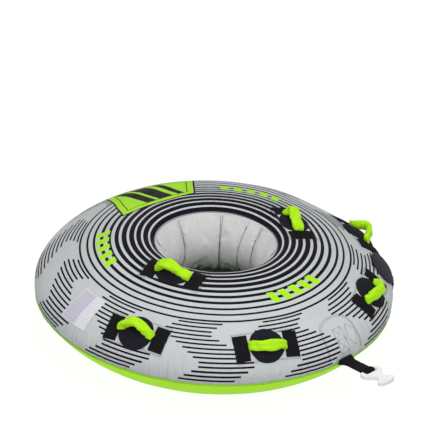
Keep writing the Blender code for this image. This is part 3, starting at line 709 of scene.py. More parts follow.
# the panel in the cover's flat pattern, where the crown has this radius
PATTERN_RADIUS = 0.295
PANEL = [(-0.088, 0.345), (-0.362, 0.156), (-0.447, 0.465), (-0.100, 0.569)]
PANEL_BARS = ((-0.062, 0.021), (0.004, 0.030), (0.072, 0.014))      # offset, half width
BAR_X, BAR_Y = 0.80, 0.60                                          # across the bars


def rings_and_stripes(shader, around, dist):
    """Mask of the rings, and of the stripe rows cut to chevrons that repeat eleven times."""
    turn = around / 360.0
    discriminant = (dist - RING_START).mul_add(4 * RING_GROWTH, RING_PITCH * RING_PITCH)
    root = discriminant.at_least(0.0).math("SQRT")
    ring = ((root - RING_PITCH) / (2 * RING_GROWTH)).math("ROUND")
    centre = ring * ring * RING_GROWTH + ring.mul_add(RING_PITCH, RING_START)
    width = ((dist - RING_WIDTH_AT) * RING_THINNING).math("EXPONENT") * RING_WIDTH
    width = width.at_most(RING_WIDTH_MAX)
    rings = (abs(dist - centre) < width * 0.5) & (dist < RINGS_END) & (ring > -0.5)

    row = ((dist - STRIPE_FIRST) / STRIPE_PITCH).math("ROUND")
    centre = row.mul_add(STRIPE_PITCH, STRIPE_FIRST)
    clamped = row.at_least(0.0).at_most(float(LAST_ROW))
    half = ((row - 8.0).at_least(0.0) / 5.0).mul_add(0.0009, STRIPE_HALF)   # outer rows widen
    off_centre = abs(dist - centre)
    drift = shader.curve(turn, [(a / 360.0, 0.5 + d / 10.0) for a, d in ZONE_DRIFT], "VECTOR")
    drifted = around - drift.mul_add(10.0, -5.0)
    edge = shader.curve(clamped / float(LAST_ROW),
                        [(i / LAST_ROW, (e + 10) / 25) for i, e in enumerate(ZONE_EDGE)], "VECTOR")
    start = edge.mul_add(25.0, -10.0)
    # 720 keeps the fraction's argument positive
    cycle = (drifted - ZONE_START - start + (ZONE_WIDTH + 720.0)) / ZONE_PERIOD
    zone = cycle.math("FRACT") * ZONE_PERIOD < ZONE_WIDTH
    stripes = ((off_centre < half) & zone & (dist > STRIPES_FROM)
               & (row > -0.5) & (row < LAST_ROW + 0.5))
    return rings | stripes


def block_marks(around, dist):
    """Mask of three groups of five slanted bars."""
    height = (dist - MARK_DIST) / MARK_HALF
    groups = []
    for start in MARK_STARTS:
        bar = (around - (start - PRINT_TURN) % 360 - height * 1.0) / MARK_PITCH
        groups.append((bar.math("FRACT") < 0.60) & (bar > 0.0) & (bar < 5.0))
    return reduce(or_, groups) & (abs(height) < 1.0)


def panel_masks(around, dist):
    """Masks of the four-sided panel and of the ink inside it."""
    rho = dist + PATTERN_RADIUS
    angle = (around + PRINT_TURN) * TO_RADIANS
    x, y = rho * angle.math("COSINE"), rho * angle.math("SINE")
    inside = []
    for i, start in enumerate(PANEL):
        end = PANEL[(i + 1) % 4]
        step_x, step_y = end[0] - start[0], end[1] - start[1]
        length = math.hypot(step_x, step_y)
        normal_x, normal_y = step_y / length, -step_x / length
        inside.append(x * normal_x + y * normal_y + -(normal_x * start[0] + normal_y * start[1]))
    depth = reduce(lambda a, b: a.at_most(b), inside)
    panel = depth > 0.0
    frame_line = (depth > 0.0) & (depth < 0.007)
    inner_line = (depth > 0.030) & (depth < 0.0335)
    inner = depth > 0.0335
    diagonal = x * BAR_X + y * BAR_Y - (-0.268 * BAR_X + 0.395 * BAR_Y)
    bars = reduce(or_, [abs(diagonal - offset) < half for offset, half in PANEL_BARS])
    return panel, frame_line | inner_line | (bars & inner)


def print_colour(shader, around, dist):
    """Colour and ink mask of the cover, from azimuth in degrees and distance in metres."""
    base = shader.mix(shader.span(shader.noise(3.0), 0.35, 0.65), GREY, shade(GREY, 0.97))
    slip = shader.curve(around / 360.0, [(a / 360.0, 0.5 + d / 40.0) for a, d in PRINT_SLIP],
                        "AUTO_CLAMPED")
    slipped = dist - slip.mul_add(0.040, -0.020)
    black = rings_and_stripes(shader, around, slipped)
    colour = shader.mix(black, base, INK)
    colour = shader.mix(block_marks(around, slipped), colour, LIME)
    panel, dark = panel_masks(around, dist)
    colour = shader.mix(panel, colour, shader.mix(dark, LIME, INK))
    return colour, ((black & (1.0 - panel)) | (panel & dark)) * 1.0


def cover_material(name, window=None):
    """Printed nylon. window: (laid piece, half width, half length) left plain."""
    shader = Shader(name)
    turn, dist = shader.uv("print")
    around = turn * 360.0
    colour, ink = print_colour(shader, around, dist)
    if window:
        laid, half_width, half_length = window
        down = dist - laid.dist
        across = (around - laid.azim) * TO_RADIANS * down.mul_add(laid.slope, laid.radius)
        down = down - across * across * (laid.bow / 2)
        x = across * laid.cos + down * laid.sin
        y = down * laid.cos - across * laid.sin
        plain = (abs(x) < half_width) & (abs(y) < half_length)
        colour = shader.mix(plain, colour, GREY)
        ink = ink * (1.0 - plain)
    colour, rough, height = nylon_base(shader, colour, turn * math.pi, dist)
    rough = rough - ink * 0.10      # the ink is a little glossier
    height = height + ink * 0.06
    # fine gathers along the rim and the mouth, and soft crumples everywhere
    angle = around * TO_RADIANS
    place = shader.combine(angle.math("COSINE") * 0.62, angle.math("SINE") * 0.62, dist * 0.16)
    gather = shader.noise(52.0, 2.5, 0.55, place) - 0.5
    where = (shader.span(dist, 0.345, 0.455, 0.0, 1.0)
             | shader.span(dist, -0.030, -0.058, 0.0, 0.45))
    height = height + gather * (where * 40.0)
    crumple = abs(shader.noise(11.0, 2.0, 0.45) - 0.5)
    height = height + crumple.at_most(0.16) * 22.0
    mat = shader.finish(colour, rough, height, depth=0.0008, strength=0.5, spec=0.3)
    shader.set(Specular_IOR_Level=ink.mul_add(-0.24, 0.30))
    return mat


def nylon(name, colour, dirt, foot_shade=0.0):
    """Plain nylon. foot: how much painted shade darkens it along its lower edge."""
    shader = Shader(name)
    across, up = shader.uv("cloth")
    dirty = shader.mix(shader.span(shader.noise(9.0, 5.0, 0.65), 0.48, 0.75), colour,
                       shade(colour, 1 - dirt))
    colour, rough, height = nylon_base(shader, dirty, across, up)
    if foot_shade:         # painted shade along the lower edge and in the folds where the wall meets the seat floor; the folds are bumps too
        # painted shade: darker towards the lower edge
        colour = shader.dim(colour, shader.span(up, 0.0, 0.050, 1.0 - foot_shade, 1.0))
        place = shader.combine(across, up * 0.22)
        fold = abs(shader.noise(30.0, 2.0, 0.5, place) - 0.5)
        height = height + fold.at_most(0.15) * shader.span(up, 0.0, 0.210, 52.0, 8.0)
        # painted shade: dark in the folds near the lower edge
        crease_shade = (shader.span(fold, 0.0, 0.055, 0.80, 0.0)
                 * shader.span(up, 0.015, 0.085, 1.0, 0.0))
        colour = shader.mix(crease_shade, colour, (0.030, 0.032, 0.026))
    return shader.finish(colour, rough, height, depth=0.0008, strength=0.5, spec=0.3)


def webbing(name, colour, rib=0.0017, column=0.0052):
    """Woven strap: ribs across, warp columns along, a little fibre fuzz."""
    shader = Shader(name)
    across, along = shader.uv("cloth")
    columns = (across * (2 * math.pi / column)).math("SINE")
    shift = columns.math("SIGN") * (0.5 * rib / 2)
    ribs = ((along + shift) * (2 * math.pi / rib)).math("SINE")
    fuzz = shader.noise(420.0, 3.0, 0.7)
    height = ribs.mul_add(0.30, abs(columns).mul_add(0.35, 0.35)) + fuzz * 0.35
    # painted highlight: the tops of the ribs and the fibre fuzz are lighter
    light = shader.span(ribs, 0.2, 1.0) * shader.span(fuzz, 0.42, 0.72)
    lit = shader.mix(light, colour, tuple(min(1.0, c * 2.2 + 0.012) for c in colour))
    worn = shader.mix(shader.span(shader.noise(60.0, 3.0), 0.35, 0.7, 0.0, 0.35), lit,
                      shade(colour, 0.55))
    return shader.finish(worn, shader.span(fuzz, 0.3, 0.7, 0.68, 0.9), height,
                         depth=0.0006, strength=0.9, spec=0.09)


def soft(name, colour, lighter, grain, depth=0.0005, sheen=0.0, rough=(0.62, 0.86),
         mottling=0.25, spec=0.2):
    """Brushed or knitted fabric, or thread."""
    shader = Shader(name)
    fine = shader.noise(grain, 3.0, 0.7)
    knit = shader.tree.nodes.new("ShaderNodeTexVoronoi")
    put(shader.tree, knit.inputs["Vector"], shader.place())
    knit.inputs["Scale"].default_value = grain * 1.3
    height = fine * 0.6 + Value(shader.tree, knit.outputs[0]) * 0.8
    mixed = shader.mix(shader.span(fine, 0.40, 0.68), colour, lighter)
    mixed = shader.mix(shader.span(shader.noise(30.0, 3.0), 0.4, 0.75, 0.0, mottling), mixed,
                       shade(colour, 0.72))
    roughness = shader.span(shader.noise(75.0, 2.0), 0.3, 0.7, *rough)
    return shader.finish(mixed, roughness, height, depth=depth, strength=0.8,
                         sheen=sheen, spec=spec)


def plastic(name, colour, rough, metallic=0.0, mottling=0.06, grain=260.0):
    shader = Shader(name)
    fine = shader.noise(grain, 3.0, 0.6)
    mixed = shader.mix(shader.span(shader.noise(22.0, 3.0), 0.35, 0.7), colour,
                       shade(colour, 1 - mottling))
    return shader.finish(mixed, shader.span(fine, 0.3, 0.7, rough - 0.06, rough + 0.10), fine,
                         depth=0.0003, strength=0.5, metallic=metallic)


def label_material():
    """Satin label; its uv runs 0..1 across and down."""
    shader = Shader("label_satin")
    across, down = shader.uv("cloth")
    border = ((across.at_most(1.0 - across) < 0.045) | (down.at_most(1.0 - down) < 0.040))
    row = shader.span((down * 9.0).math("FRACT"), 0.0, 1.0, 0.94, 1.0)
    tone = shader.mix(across < 0.58, (0.78, 0.77, 0.82), (0.60, 0.58, 0.70))
    colour = shader.mix(border, shader.dim(tone, row), (0.82, 0.82, 0.84))
    weave = shader.noise(700.0, 2.0)
    return shader.finish(colour, shader.span(weave, 0.3, 0.7, 0.34, 0.5), weave,
                         depth=0.0002, strength=0.5, sheen=0.3)


def floor_material():
    """Dark floor with a dashed lime ring and a grey edge; its uv is x, y in metres."""
    shader = Shader("seat_floor_print")
    x, y = shader.uv("cloth")
    radius = (x * x + y * y).math("SQRT")
    dash = (y.math("ARCTAN2", x) * (16 / (2 * math.pi))).math("FRACT") < 0.42
    ring = (radius > 0.152) & (radius < 0.182) & dash
    colour = shader.mix(ring, (0.020, 0.017, 0.026), LIME)
    colour = shader.mix(radius > 0.228, colour, (0.16, 0.16, 0.165))
    colour, rough, height = nylon_base(shader, colour, x, y)
    return shader.finish(colour, rough, height, depth=0.0008, strength=0.5, sheen=0.15)


PRINTED_NYLON = cover_material("printed_nylon")
# painted shade darkens the wall along its lower edge and in its folds
WALL_NYLON = nylon("wall_nylon", (0.700, 0.710, 0.705), dirt=0.06, foot_shade=0.55)
PLAIN_NYLON = nylon("plain_grey_nylon", GREY, dirt=0.03)
GREEN_NYLON = nylon("green_nylon", GREEN, dirt=0.05)
glow = GREEN_NYLON.node_tree.nodes["Principled BSDF"]      # painted glow: the green nylon emits light, though it is no lamp
glow.inputs["Emission Color"].default_value = (0.42, 0.90, 0.030, 1.0)
glow.inputs["Emission Strength"].default_value = 0.20
BLACK_WEBBING = webbing("black_webbing", (0.0085, 0.0075, 0.0095))
PAD_FABRIC = soft("pad_fabric", (0.0090, 0.0075, 0.0145), (0.017, 0.014, 0.027),
                  grain=620.0, spec=0.14)
FLAP_FABRIC = soft("flap_fabric", (0.0150, 0.0125, 0.0270), (0.024, 0.020, 0.040),
                   grain=420.0, rough=(0.48, 0.68), spec=0.3)
SLEEVE_FABRIC = soft("sleeve_fabric", (0.47, 0.94, 0.008), (0.52, 0.97, 0.012),
                     grain=480.0, depth=0.0006, mottling=0.45)
BLACK_PLASTIC = plastic("black_plastic", (0.018, 0.017, 0.019), rough=0.36)
WHITE_PLASTIC = plastic("white_plastic", (0.93, 0.93, 0.94), rough=0.30, mottling=0.03)
GREY_RUBBER = plastic("grey_rubber", (0.22, 0.22, 0.23), rough=0.62)
DARK_METAL = plastic("dark_metal", (0.10, 0.10, 0.11), rough=0.32, metallic=0.85)
HOOK_AND_LOOP = soft("hook_and_loop", (0.012, 0.011, 0.013), (0.04, 0.04, 0.044),
                     grain=900.0, depth=0.0012, sheen=0.1)
ZIP_TAPE = webbing("zip_tape", (0.020, 0.019, 0.022), rib=0.0009)
BLADDER_FILM = plastic("bladder_film", (0.028, 0.027, 0.030), rough=0.30, grain=120.0)
DARK_THREAD = soft("dark_thread", (0.060, 0.058, 0.062), (0.12, 0.115, 0.12), grain=900.0)
GREY_THREAD = soft("grey_thread", (0.30, 0.31, 0.32), (0.40, 0.41, 0.42), grain=900.0)
BLACK_THREAD = soft("black_thread", (0.035, 0.034, 0.037), (0.09, 0.088, 0.095), grain=900.0)
PIPING_NYLON = nylon("green_piping", LIME_DEEP, dirt=0.1)
LABEL_SATIN = label_material()

# ---------------------------------------------------------------- simulation
CLOTH_FRAMES = 18
cloth_queue = []            # (object, greatest movement, function called with the result)


def cloth_on(ob, pins, pressure, shrink, cap, bend, done, tension=15.0):
    """Queues ob for the shared cloth run. pins: weights per vertex."""
    group = ob.vertex_groups.new(name="pin")
    weights = np.round(pins, 2)
    for weight in sorted(set(weights)):
        if weight > 0:
            group.add([int(i) for i in np.nonzero(weights == weight)[0]], float(weight), "REPLACE")
    cloth = ob.modifiers.new("cloth", "CLOTH")
    settings = dict(
        quality=5, mass=0.15,
        tension_stiffness=tension, compression_stiffness=tension,
        shear_stiffness=4.0, bending_stiffness=bend,
        tension_damping=8.0, compression_damping=8.0, air_damping=2.0,
        shrink_min=shrink, vertex_group_mass="pin", pin_stiffness=1.0,
        use_pressure=True, uniform_pressure_force=pressure)
    for key, value in settings.items():
        setattr(cloth.settings, key, value)
    cloth.settings.effector_weights.gravity = 0.0
    cloth.collision_settings.use_collision = False
    cloth.collision_settings.use_self_collision = False
    cloth.point_cache.frame_start, cloth.point_cache.frame_end = 1, 40
    cloth_queue.append((ob, cap, done))


def run_cloth():
    scene = bpy.context.scene
    rest = {ob.name: np.array([v.co for v in ob.data.vertices], float).reshape(-1, 3)
            for ob, _, _ in cloth_queue}
    moved = {}
    for number in range(1, CLOTH_FRAMES + 1):
        scene.frame_set(number)
    depsgraph = bpy.context.evaluated_depsgraph_get()
    for ob, _, _ in cloth_queue:
        mesh = ob.evaluated_get(depsgraph).to_mesh()
        coords = np.zeros(len(mesh.vertices) * 3, np.float32)
        mesh.vertices.foreach_get("co", coords)
        moved[ob.name] = coords.reshape(-1, 3).astype(float)
        ob.evaluated_get(depsgraph).to_mesh_clear()
    for ob, cap, done in cloth_queue:
        start = rest[ob.name]
        shift = moved.get(ob.name, start) - start
        length = np.linalg.norm(shift, axis=1)[:, None]
        shift = shift * np.where(length > cap, cap / np.maximum(length, 1e-9), 1.0)
        result = start + np.nan_to_num(shift)
        for modifier in list(ob.modifiers):
            ob.modifiers.remove(modifier)
        ob.vertex_groups.clear()
        move_vertices(ob, result)
        done(ob, result)
    scene.frame_set(1)


def move_vertices(ob, coords):
    ob.data.vertices.foreach_set("co", coords.astype(np.float32).ravel())
    ob.data.update()


def apply_modifiers(ob):
    depsgraph = bpy.context.evaluated_depsgraph_get()
    mesh = bpy.data.meshes.new_from_object(ob.evaluated_get(depsgraph), depsgraph=depsgraph)
    ob.modifiers.clear()
    ob.data = mesh


def subdivide(ob):
    modifier = ob.modifiers.new("subdivision", "SUBSURF")
    modifier.levels = modifier.render_levels = 1
    modifier.boundary_smooth = "PRESERVE_CORNERS"
    apply_modifiers(ob)


# ------------------------------------------------------------- the two covers
COVER_STEPS = 480
cover_az = np.arange(COVER_STEPS) * 360.0 / COVER_STEPS
cover_turns = np.linspace(0, 1, COVER_STEPS + 1)


def profile_rows(skin, low, high, count, extra):
    """Distances from low to high, closer where the section turns quickly or extra is high."""
    dist = np.linspace(low, high, 2000)
    normals = np.stack(skin.look_up(skin.normals, dist), 1)
    turn = np.linalg.norm(np.gradient(normals, dist, axis=0), axis=1)
    weight = 1.0 + np.minimum(turn, 60) * 0.10 + extra(dist)
    total = np.concatenate([[0], np.cumsum((weight[1:] + weight[:-1]) / 2)])
    return np.interp(np.linspace(0, total[-1], count), total, dist)


def cover(name, skin, rows, mat, uvname, across, slot):
    outer = skin.at(rows[:, None], cover_az[None, :])
    inner = skin.at(rows[:, None], cover_az[None, :], -COVER_THICKNESS)
    ob = sheet(name + "_visual", outer, inner, mat, wrap=True, uv=uv_grid(across, rows),
               uvname=uvname, smooth=70)
    ride(ob, "tube", slot, name)


cover("top_cover", TOP,
      profile_rows(TOP, MOUTH_DIST, RIM_DIST, 92, lambda d: 1.2 * (d > RIM_DIST - 0.07)),
      PRINTED_NYLON, "print", cover_turns, "grey_nylon")
cover("bottom_cover", BOTTOM,
      profile_rows(BOTTOM, 0.0, BOTTOM.dist[-1], 70, lambda d: 1.5 * (d < 0.06)),
      GREEN_NYLON, "cloth", cover_turns * math.pi, "green_nylon")


def rim_piping():
    """Cord between the covers, a little uneven where the cover gathers."""
    cord, steps, around = 0.0030, 720, 10
    azim = np.arange(steps) * 360.0 / steps
    angle = np.radians(azim)[:, None]
    pull = top_bump(np.full(steps, RIM_DIST), azim) * 0.7
    ring = np.linspace(0, 2 * np.pi, around, endpoint=False)[None, :]
    radius = (SEAM[0] + 0.0018 + pull[:, None]
              + (cord + 0.00025 * np.sin(angle * 211)) * np.cos(ring))
    height = SEAM[1] + GROUND + 0.0005 * np.sin(angle * 37 + 1.0) + cord * np.sin(ring)
    points = np.stack([radius * np.cos(angle), radius * np.sin(angle), height], -1)
    uv = uv_grid(np.arange(around + 1) * 0.0018, np.arange(steps + 1) * 0.0058)
    ride(torus("rim_piping_visual", points, PIPING_NYLON, uv), "tube", "green_nylon", "rim_piping")


rim_piping()

# ---------------------------------------------------------------- hole wall
WALL_STEPS, WALL_ROWS = 336, 46
WALL_STEP = 360.0 / WALL_STEPS
PANEL_ANGLE = 45.0
FIRST_SEAM_AZ = 85.8 - PRINT_TURN
# long creases: azimuth, lean in degrees over the height, depth
LONG_CREASES = ((62.0, 9.0, 0.0030), (40.0, -7.0, 0.0022), (122.0, 6.0, 0.0020),
                (153.0, -10.0, 0.0042), (98.0, 5.0, 0.0015), (15.0, 8.0, 0.0024))
wall_az = np.arange(WALL_STEPS) * 360.0 / WALL_STEPS + FIRST_SEAM_AZ % WALL_STEP
wall_dist = np.linspace(0, WALL.dist[-1], WALL_ROWS)
wall_height = wall_dist[:, None] / WALL.dist[-1]
seam_columns = {int(round(((FIRST_SEAM_AZ + PANEL_ANGLE * k) % 360 - wall_az[0]) / WALL_STEP))
                % WALL_STEPS for k in range(8)}
fold_rng = np.random.RandomState(21)
# one long tuck leans across a panel
tuck_az = 62.0 - PRINT_TURN - 7.0 * (wall_height[:, 0] - 0.4)
tuck_column = ((tuck_az - wall_az[0]) / WALL_STEP) % WALL_STEPS
tuck_offset = wrap180(wall_az[None, :] - tuck_az[:, None])
tuck_fade = np.clip((1.0 - wall_height) / 0.12, 0, 1) * np.clip(wall_height * 9, 0, 1)
wall_surface = {}        # the settled wall's points and normals, for its stitching


def wall_lift():
    """How far the wall stands off its turned shape before it is blown up."""
    height, azim = wall_height, wall_az[None, :]
    part = ((azim - FIRST_SEAM_AZ) % PANEL_ANGLE) / PANEL_ANGLE
    belly = np.sin(np.pi * np.clip(height, 0, 1)) ** 0.8
    cross = 1 - np.abs(2 * part - 1) ** 2.6
    lift = (0.0075 * belly * cross
            - 0.0030 * belly * bell(np.minimum(part, 1 - part) * PANEL_ANGLE, 1.1))
    # gathers where the wall is sewn to the seat floor
    for _ in range(58):
        centre = fold_rng.uniform(0, 360)
        width = fold_rng.uniform(0.8, 2.1)
        depth = fold_rng.uniform(0.0015, 0.0048)
        length = fold_rng.uniform(0.10, 0.34)
        lean = fold_rng.uniform(-16, 16)
        offset = wrap180(azim - centre - lean * height)
        lift = lift - (depth * bell(offset, width * (1 + 1.4 * height))
                       * np.exp(-(height / length) ** 1.6) * np.clip(height * 18, 0, 1))
    for centre, lean, depth in LONG_CREASES:
        offset = wrap180(azim - (centre - PRINT_TURN) - lean * (height - 0.4))
        lift = lift - (depth * bell(offset, 1.2) * np.clip(1.1 - height, 0, 1)
                       * np.clip(height * 9, 0, 1))
    return lift - 0.0065 * bell(tuck_offset, 1.0) * tuck_fade


def wall_done(ob, coords):
    points = coords.reshape(WALL_ROWS, WALL_STEPS, 3).copy()
    sunk = 0.0050 * bell(tuck_offset, 1.1) * tuck_fade
    points[..., :2] *= (1 + sunk / np.linalg.norm(points[..., :2], axis=-1))[..., None]
    # rows are doubled for a smooth surface
    rows = 2 * WALL_ROWS - 1
    grid = np.zeros((rows, WALL_STEPS, 3))
    grid[::2] = points
    padded = np.concatenate([points[:1] * 2 - points[1:2], points,
                             points[-1:] * 2 - points[-2:-1]])
    grid[1::2] = (-padded[:-3] + 9 * padded[1:-2] + 9 * padded[2:-1] - padded[3:]) / 16
    around = np.roll(grid, -1, 1) - np.roll(grid, 1, 1)
    normal = unit(np.cross(np.gradient(grid, axis=0), around))      # into the hole
    wall_surface.update(grid=grid, normal=normal)
    turns = wall_az[0] / 360 + np.arange(WALL_STEPS + 1) / WALL_STEPS
    dist = np.interp(np.arange(rows) / 2, np.arange(WALL_ROWS), wall_dist)
    wall = sheet("hole_wall_visual", grid, grid - normal * COVER_THICKNESS, WALL_NYLON, wrap=True,
                 uv=uv_grid(turns * 2 * math.pi * 0.2, dist), smooth=75)
    bpy.data.objects.remove(ob)
    ride(wall, "tube", "grey_nylon", "hole_wall")


def hole_wall():
    points = WALL.at(wall_dist[:, None], wall_az[None, :], wall_lift())
    cells = grid_corners(WALL_ROWS, WALL_STEPS, True)
    cloth = solid("hole_wall_cloth", points.reshape(-1, 3),
                  [vertex_of(cells, WALL_ROWS, WALL_STEPS)], None)
    cloth.data.flip_normals()       # they face the hole, so pressure pushes that way
    pins = np.zeros((WALL_ROWS, WALL_STEPS))
    pins[0] = pins[-1] = 1.0
    pins[1] = pins[-2] = 0.6
    for column in seam_columns:
        pins[:, column] = 1.0
    cloth_on(cloth, pins.ravel(), pressure=0.55, shrink=-0.034, cap=0.014, bend=0.10,
             tension=10.0, done=wall_done)


hole_wall()


# ---------------------------------------------------------------- seat floor
def seat_floor():
    radius, thickness = 0.2425, 0.0016
    disc, faces = disc_grid(np.concatenate([np.linspace(0.04, 0.88, 20),
                                            np.linspace(0.90, 1.0, 12)]), 180)
    rho, theta = polar(disc)
    height = np.zeros(len(disc))
    for _ in range(70):              # gathers along the edge
        centre, width = fold_rng.uniform(0, 360), fold_rng.uniform(0.7, 1.6)
        height = height - (fold_rng.uniform(0.0006, 0.0022)
                           * bell(wrap180(np.degrees(theta) - centre), width)
                           * np.exp(-((1 - rho) / 0.10) ** 1.3))
    top = np.stack([disc[:, 0] * radius, disc[:, 1] * radius, height + 0.0004], 1)
    verts = np.concatenate([top, top - np.array([0, 0, thickness])])
    ob = solid("seat_floor_visual", verts, faces, floor_material(),
               [verts[f][..., :2] for f in faces])
    ride(ob, "tube", "green_nylon", "seat_floor")


seat_floor()

# -------------------------------------------------------------------- handles
PAD_RADIUS = 0.0695
TAIL_LIFT, TAIL_FLAT_X, TAIL_SLEEVE_X = 0.0034, 0.0800, 0.0625
# where each sewn set sits: azimuth, distance, turn in degrees, half spacing, length
SEWN = {
    "bow_left": (241.5, 0.3465, 1.2, 0.0985, 0.1050),
    "bow_right": (298.3, 0.3425, -1.7, 0.0965, 0.1020),
    "side_left": (193.5, 0.3410, -1.3, 0.0975, 0.1030),
    "side_right": (339.6, 0.3400, 0.0, 0.0975, 0.1030),
    "inner_left": (192.8, 0.0310, -3.6, 0.0915, 0.0930),
    "inner_right": (338.6, 0.0330, 6.5, 0.0930, 0.0940),
}
# middle line of each sleeve (along the axis, height over it, sideways), half width, half depth
SLEEVES = {
    "bow_left": ([(-0.0735, -0.002, -0.001), (-0.060, 0.014, -0.002), (-0.036, 0.034, 0.000),
                  (-0.010, 0.045, 0.001), (0.018, 0.046, 0.002), (0.040, 0.036, 0.003),
                  (0.058, 0.017, 0.007), (0.0705, 0.001, 0.013)], 0.0208, 0.0140),
    "bow_right": ([(-0.0725, 0.001, 0), (-0.0600, 0.0070, 0), (-0.0313, 0.0195, 0),
                   (-0.0048, 0.0315, 0), (0.0224, 0.0385, 0), (0.0473, 0.0270, 0),
                   (0.0640, 0.0075, 0), (0.0715, -0.001, 0)], 0.0208, 0.0145),
    "side_left": ([(-0.0730, 0.000, 0), (-0.0650, 0.0090, 0), (-0.0445, 0.0275, 0),
                   (-0.0185, 0.0420, 0), (0.0035, 0.0425, 0), (0.0300, 0.0285, 0),
                   (0.0570, 0.0125, 0), (0.0735, 0.001, 0)], 0.0212, 0.0155),
    "side_right": ([(-0.0725, 0.000, 0), (-0.0600, 0.0080, 0), (-0.0460, 0.0185, 0),
                    (-0.0200, 0.0400, 0), (0.0042, 0.0525, 0), (0.0277, 0.0470, 0),
                    (0.0430, 0.0290, 0), (0.0550, 0.0100, 0), (0.0670, 0.001, 0)],
                   0.0180, 0.0115),
    "inner_left": ([(-0.0725, 0.000, 0), (-0.0655, 0.0110, 0), (-0.0460, 0.0340, 0),
                    (-0.0170, 0.0510, 0), (-0.0006, 0.0440, 0), (0.0226, 0.0290, 0),
                    (0.0457, 0.0145, 0), (0.0700, 0.001, 0)], 0.0205, 0.0145),
    "inner_right": ([(-0.0730, 0.001, -0.008), (-0.0550, 0.0105, -0.009),
                     (-0.0300, 0.0220, -0.008), (-0.0020, 0.0345, -0.006),
                     (0.0190, 0.0400, -0.004), (0.0380, 0.0300, -0.002),
                     (0.0510, 0.0130, 0), (0.0650, 0.001, 0)], 0.0200, 0.0140),
}
patch_lines, webbing_lines = [], []
pressed = []      # sleeves with their grip's tilt joint, sideways axis and middle
pad_rng = np.random.RandomState(5)


def backing_patch(name, laid, spacing, length):
    """Patch printed like the cover, plain between the two anchors."""
    half_width, half_length = 0.132, length / 2 + 0.012
    x, y = np.meshgrid(np.linspace(-half_width, half_width, 60),
                       np.linspace(-half_length, half_length, 30))
    edge = np.minimum(half_width - np.abs(x), half_length - np.abs(y))
    lift = (0.0004 + 0.0007 * np.clip(edge / 0.002, 0, 1)
            + 0.0005 * np.clip((edge - 0.006) / 0.01, 0, 1))
    for inset in (0.0045, 0.0085):       # two sewn lines draw it in
        lift = lift - 0.0004 * bell(edge - inset, 0.0011)
        patch_lines.extend(stitch_box(laid, 0, half_width - inset, half_length - inset, 0.0012))
    dist, azim = laid.on_cover(x, y)
    mat = cover_material("printed_nylon_" + name, (laid, spacing + 0.004, length / 2 - 0.002))
    patch = sheet(name + "_backing_patch_visual", laid.at(x, y, lift), laid.at(x, y, 0.00015),
                  mat, uv=np.stack([azim / 360.0, dist], -1), uvname="print", smooth=50)
    ride(patch, "tube", "grey_nylon", name + "_backing_patch")


def anchor(name, laid, centre, length):
    """A bar of folded webbing: flat, round-edged, drawn in along its sewn border."""
    half_width, half_length, base, sewn = ANCHOR_WIDTH / 2, length / 2, 0.0013, 0.0052
    across, down = np.meshgrid(signed_power(np.linspace(-1, 1, 18), 0.72),
                               signed_power(np.linspace(-1, 1, 34), 0.80))
    edge = np.minimum((1 - np.abs(across)) * half_width, (1 - np.abs(down)) * half_length)
    lift = (0.0036 * np.clip(edge / 0.0016, 0, 1) ** 0.45 - 0.0009 * bell(edge - sewn, 0.0013)
            + 0.0007 * np.clip((edge - 0.006) / 0.012, 0, 1))
    x = (centre + across * half_width * (1 + 0.006 * np.sin(down * 23))
         + 0.0004 * np.sin(down * 9 + centre * 90))
    y = down * half_length * (1 + 0.004 * np.sin(across * 11 + centre * 40))
    bar = sheet(name + "_visual", laid.at(x, y, base + lift), laid.at(x, y, base), BLACK_WEBBING,
                uv=np.stack([x, y], -1), smooth=50)
    ride(bar, "tube", "black_webbing", name)
    webbing_lines.extend(stitch_box(laid, centre, half_width - sewn, half_length - sewn, 0.0046))


def knuckle_pad(name, laid, squeeze):
    """Padded disc with a bound edge, blown up flat by the cloth run and then laid down."""
    base = 0.0022
    disc, faces = disc_grid(np.concatenate([np.linspace(0.10, 0.84, 9),
                                            [0.90, 0.935, 0.965, 1.0]]), 56)
    count = len(disc)
    rho, theta = polar(disc)
    phase = pad_rng.uniform(0, 6.28, 4)
    wobble = (1 + 0.012 * np.sin(3 * theta + phase[0]) * rho
              + 0.007 * np.sin(7 * theta + phase[1]) * rho)
    x, y = disc[:, 0] * PAD_RADIUS * wobble, disc[:, 1] * PAD_RADIUS * squeeze * wobble
    dome = 0.0020 + 0.0050 * (1 - np.clip(rho / 0.93, 0, 1) ** 2.6)
    binding = 0.0030 * np.sqrt(np.clip(1 - ((rho - 0.967) / 0.036) ** 2, 0.05, 1))
    dome = np.where(rho > 0.94, binding, dome)
    dome = dome + 0.0006 * np.sin(theta * 29 + phase[2]) * bell(rho - 0.84, 0.10)
    layers = [np.stack([x, y, base + dome], 1), np.stack([x, y, np.full(count, base)], 1)]
    pad = solid(name + "_knuckle_pad_visual", np.concatenate(layers), faces, PAD_FABRIC)

    def done(ob, coords):
        x, y, z = coords[:, 0], coords[:, 1], coords[:, 2].copy()
        # the grip's two roots press the pad's edge down
        press = np.exp(-((np.abs(x) - 0.062) / 0.014) ** 2 - (y / 0.016) ** 2)
        z[:count] = base + (z[:count] - base) * (1 - 0.5 * press[:count])
        z = np.maximum(z, 0.0018)
        z[:count] = np.minimum(z[:count], 0.0125)
        move_vertices(ob, laid.at(x, y, z))
        subdivide(ob)

    pins = np.concatenate([np.where(rho > 0.88, 1.0, 0.0), np.ones(count)])
    cloth_on(pad, pins, pressure=3.0, shrink=-0.030, cap=0.006, bend=0.4, done=done)
    ride(pad, "tube", "black_neoprene", name + "_knuckle_pad")
    turn = np.linspace(0, 2 * np.pi, 120)
    webbing_lines.append(laid.line(0.925 * PAD_RADIUS * np.cos(turn),
                                   0.925 * PAD_RADIUS * squeeze * np.sin(turn), 0.0046))


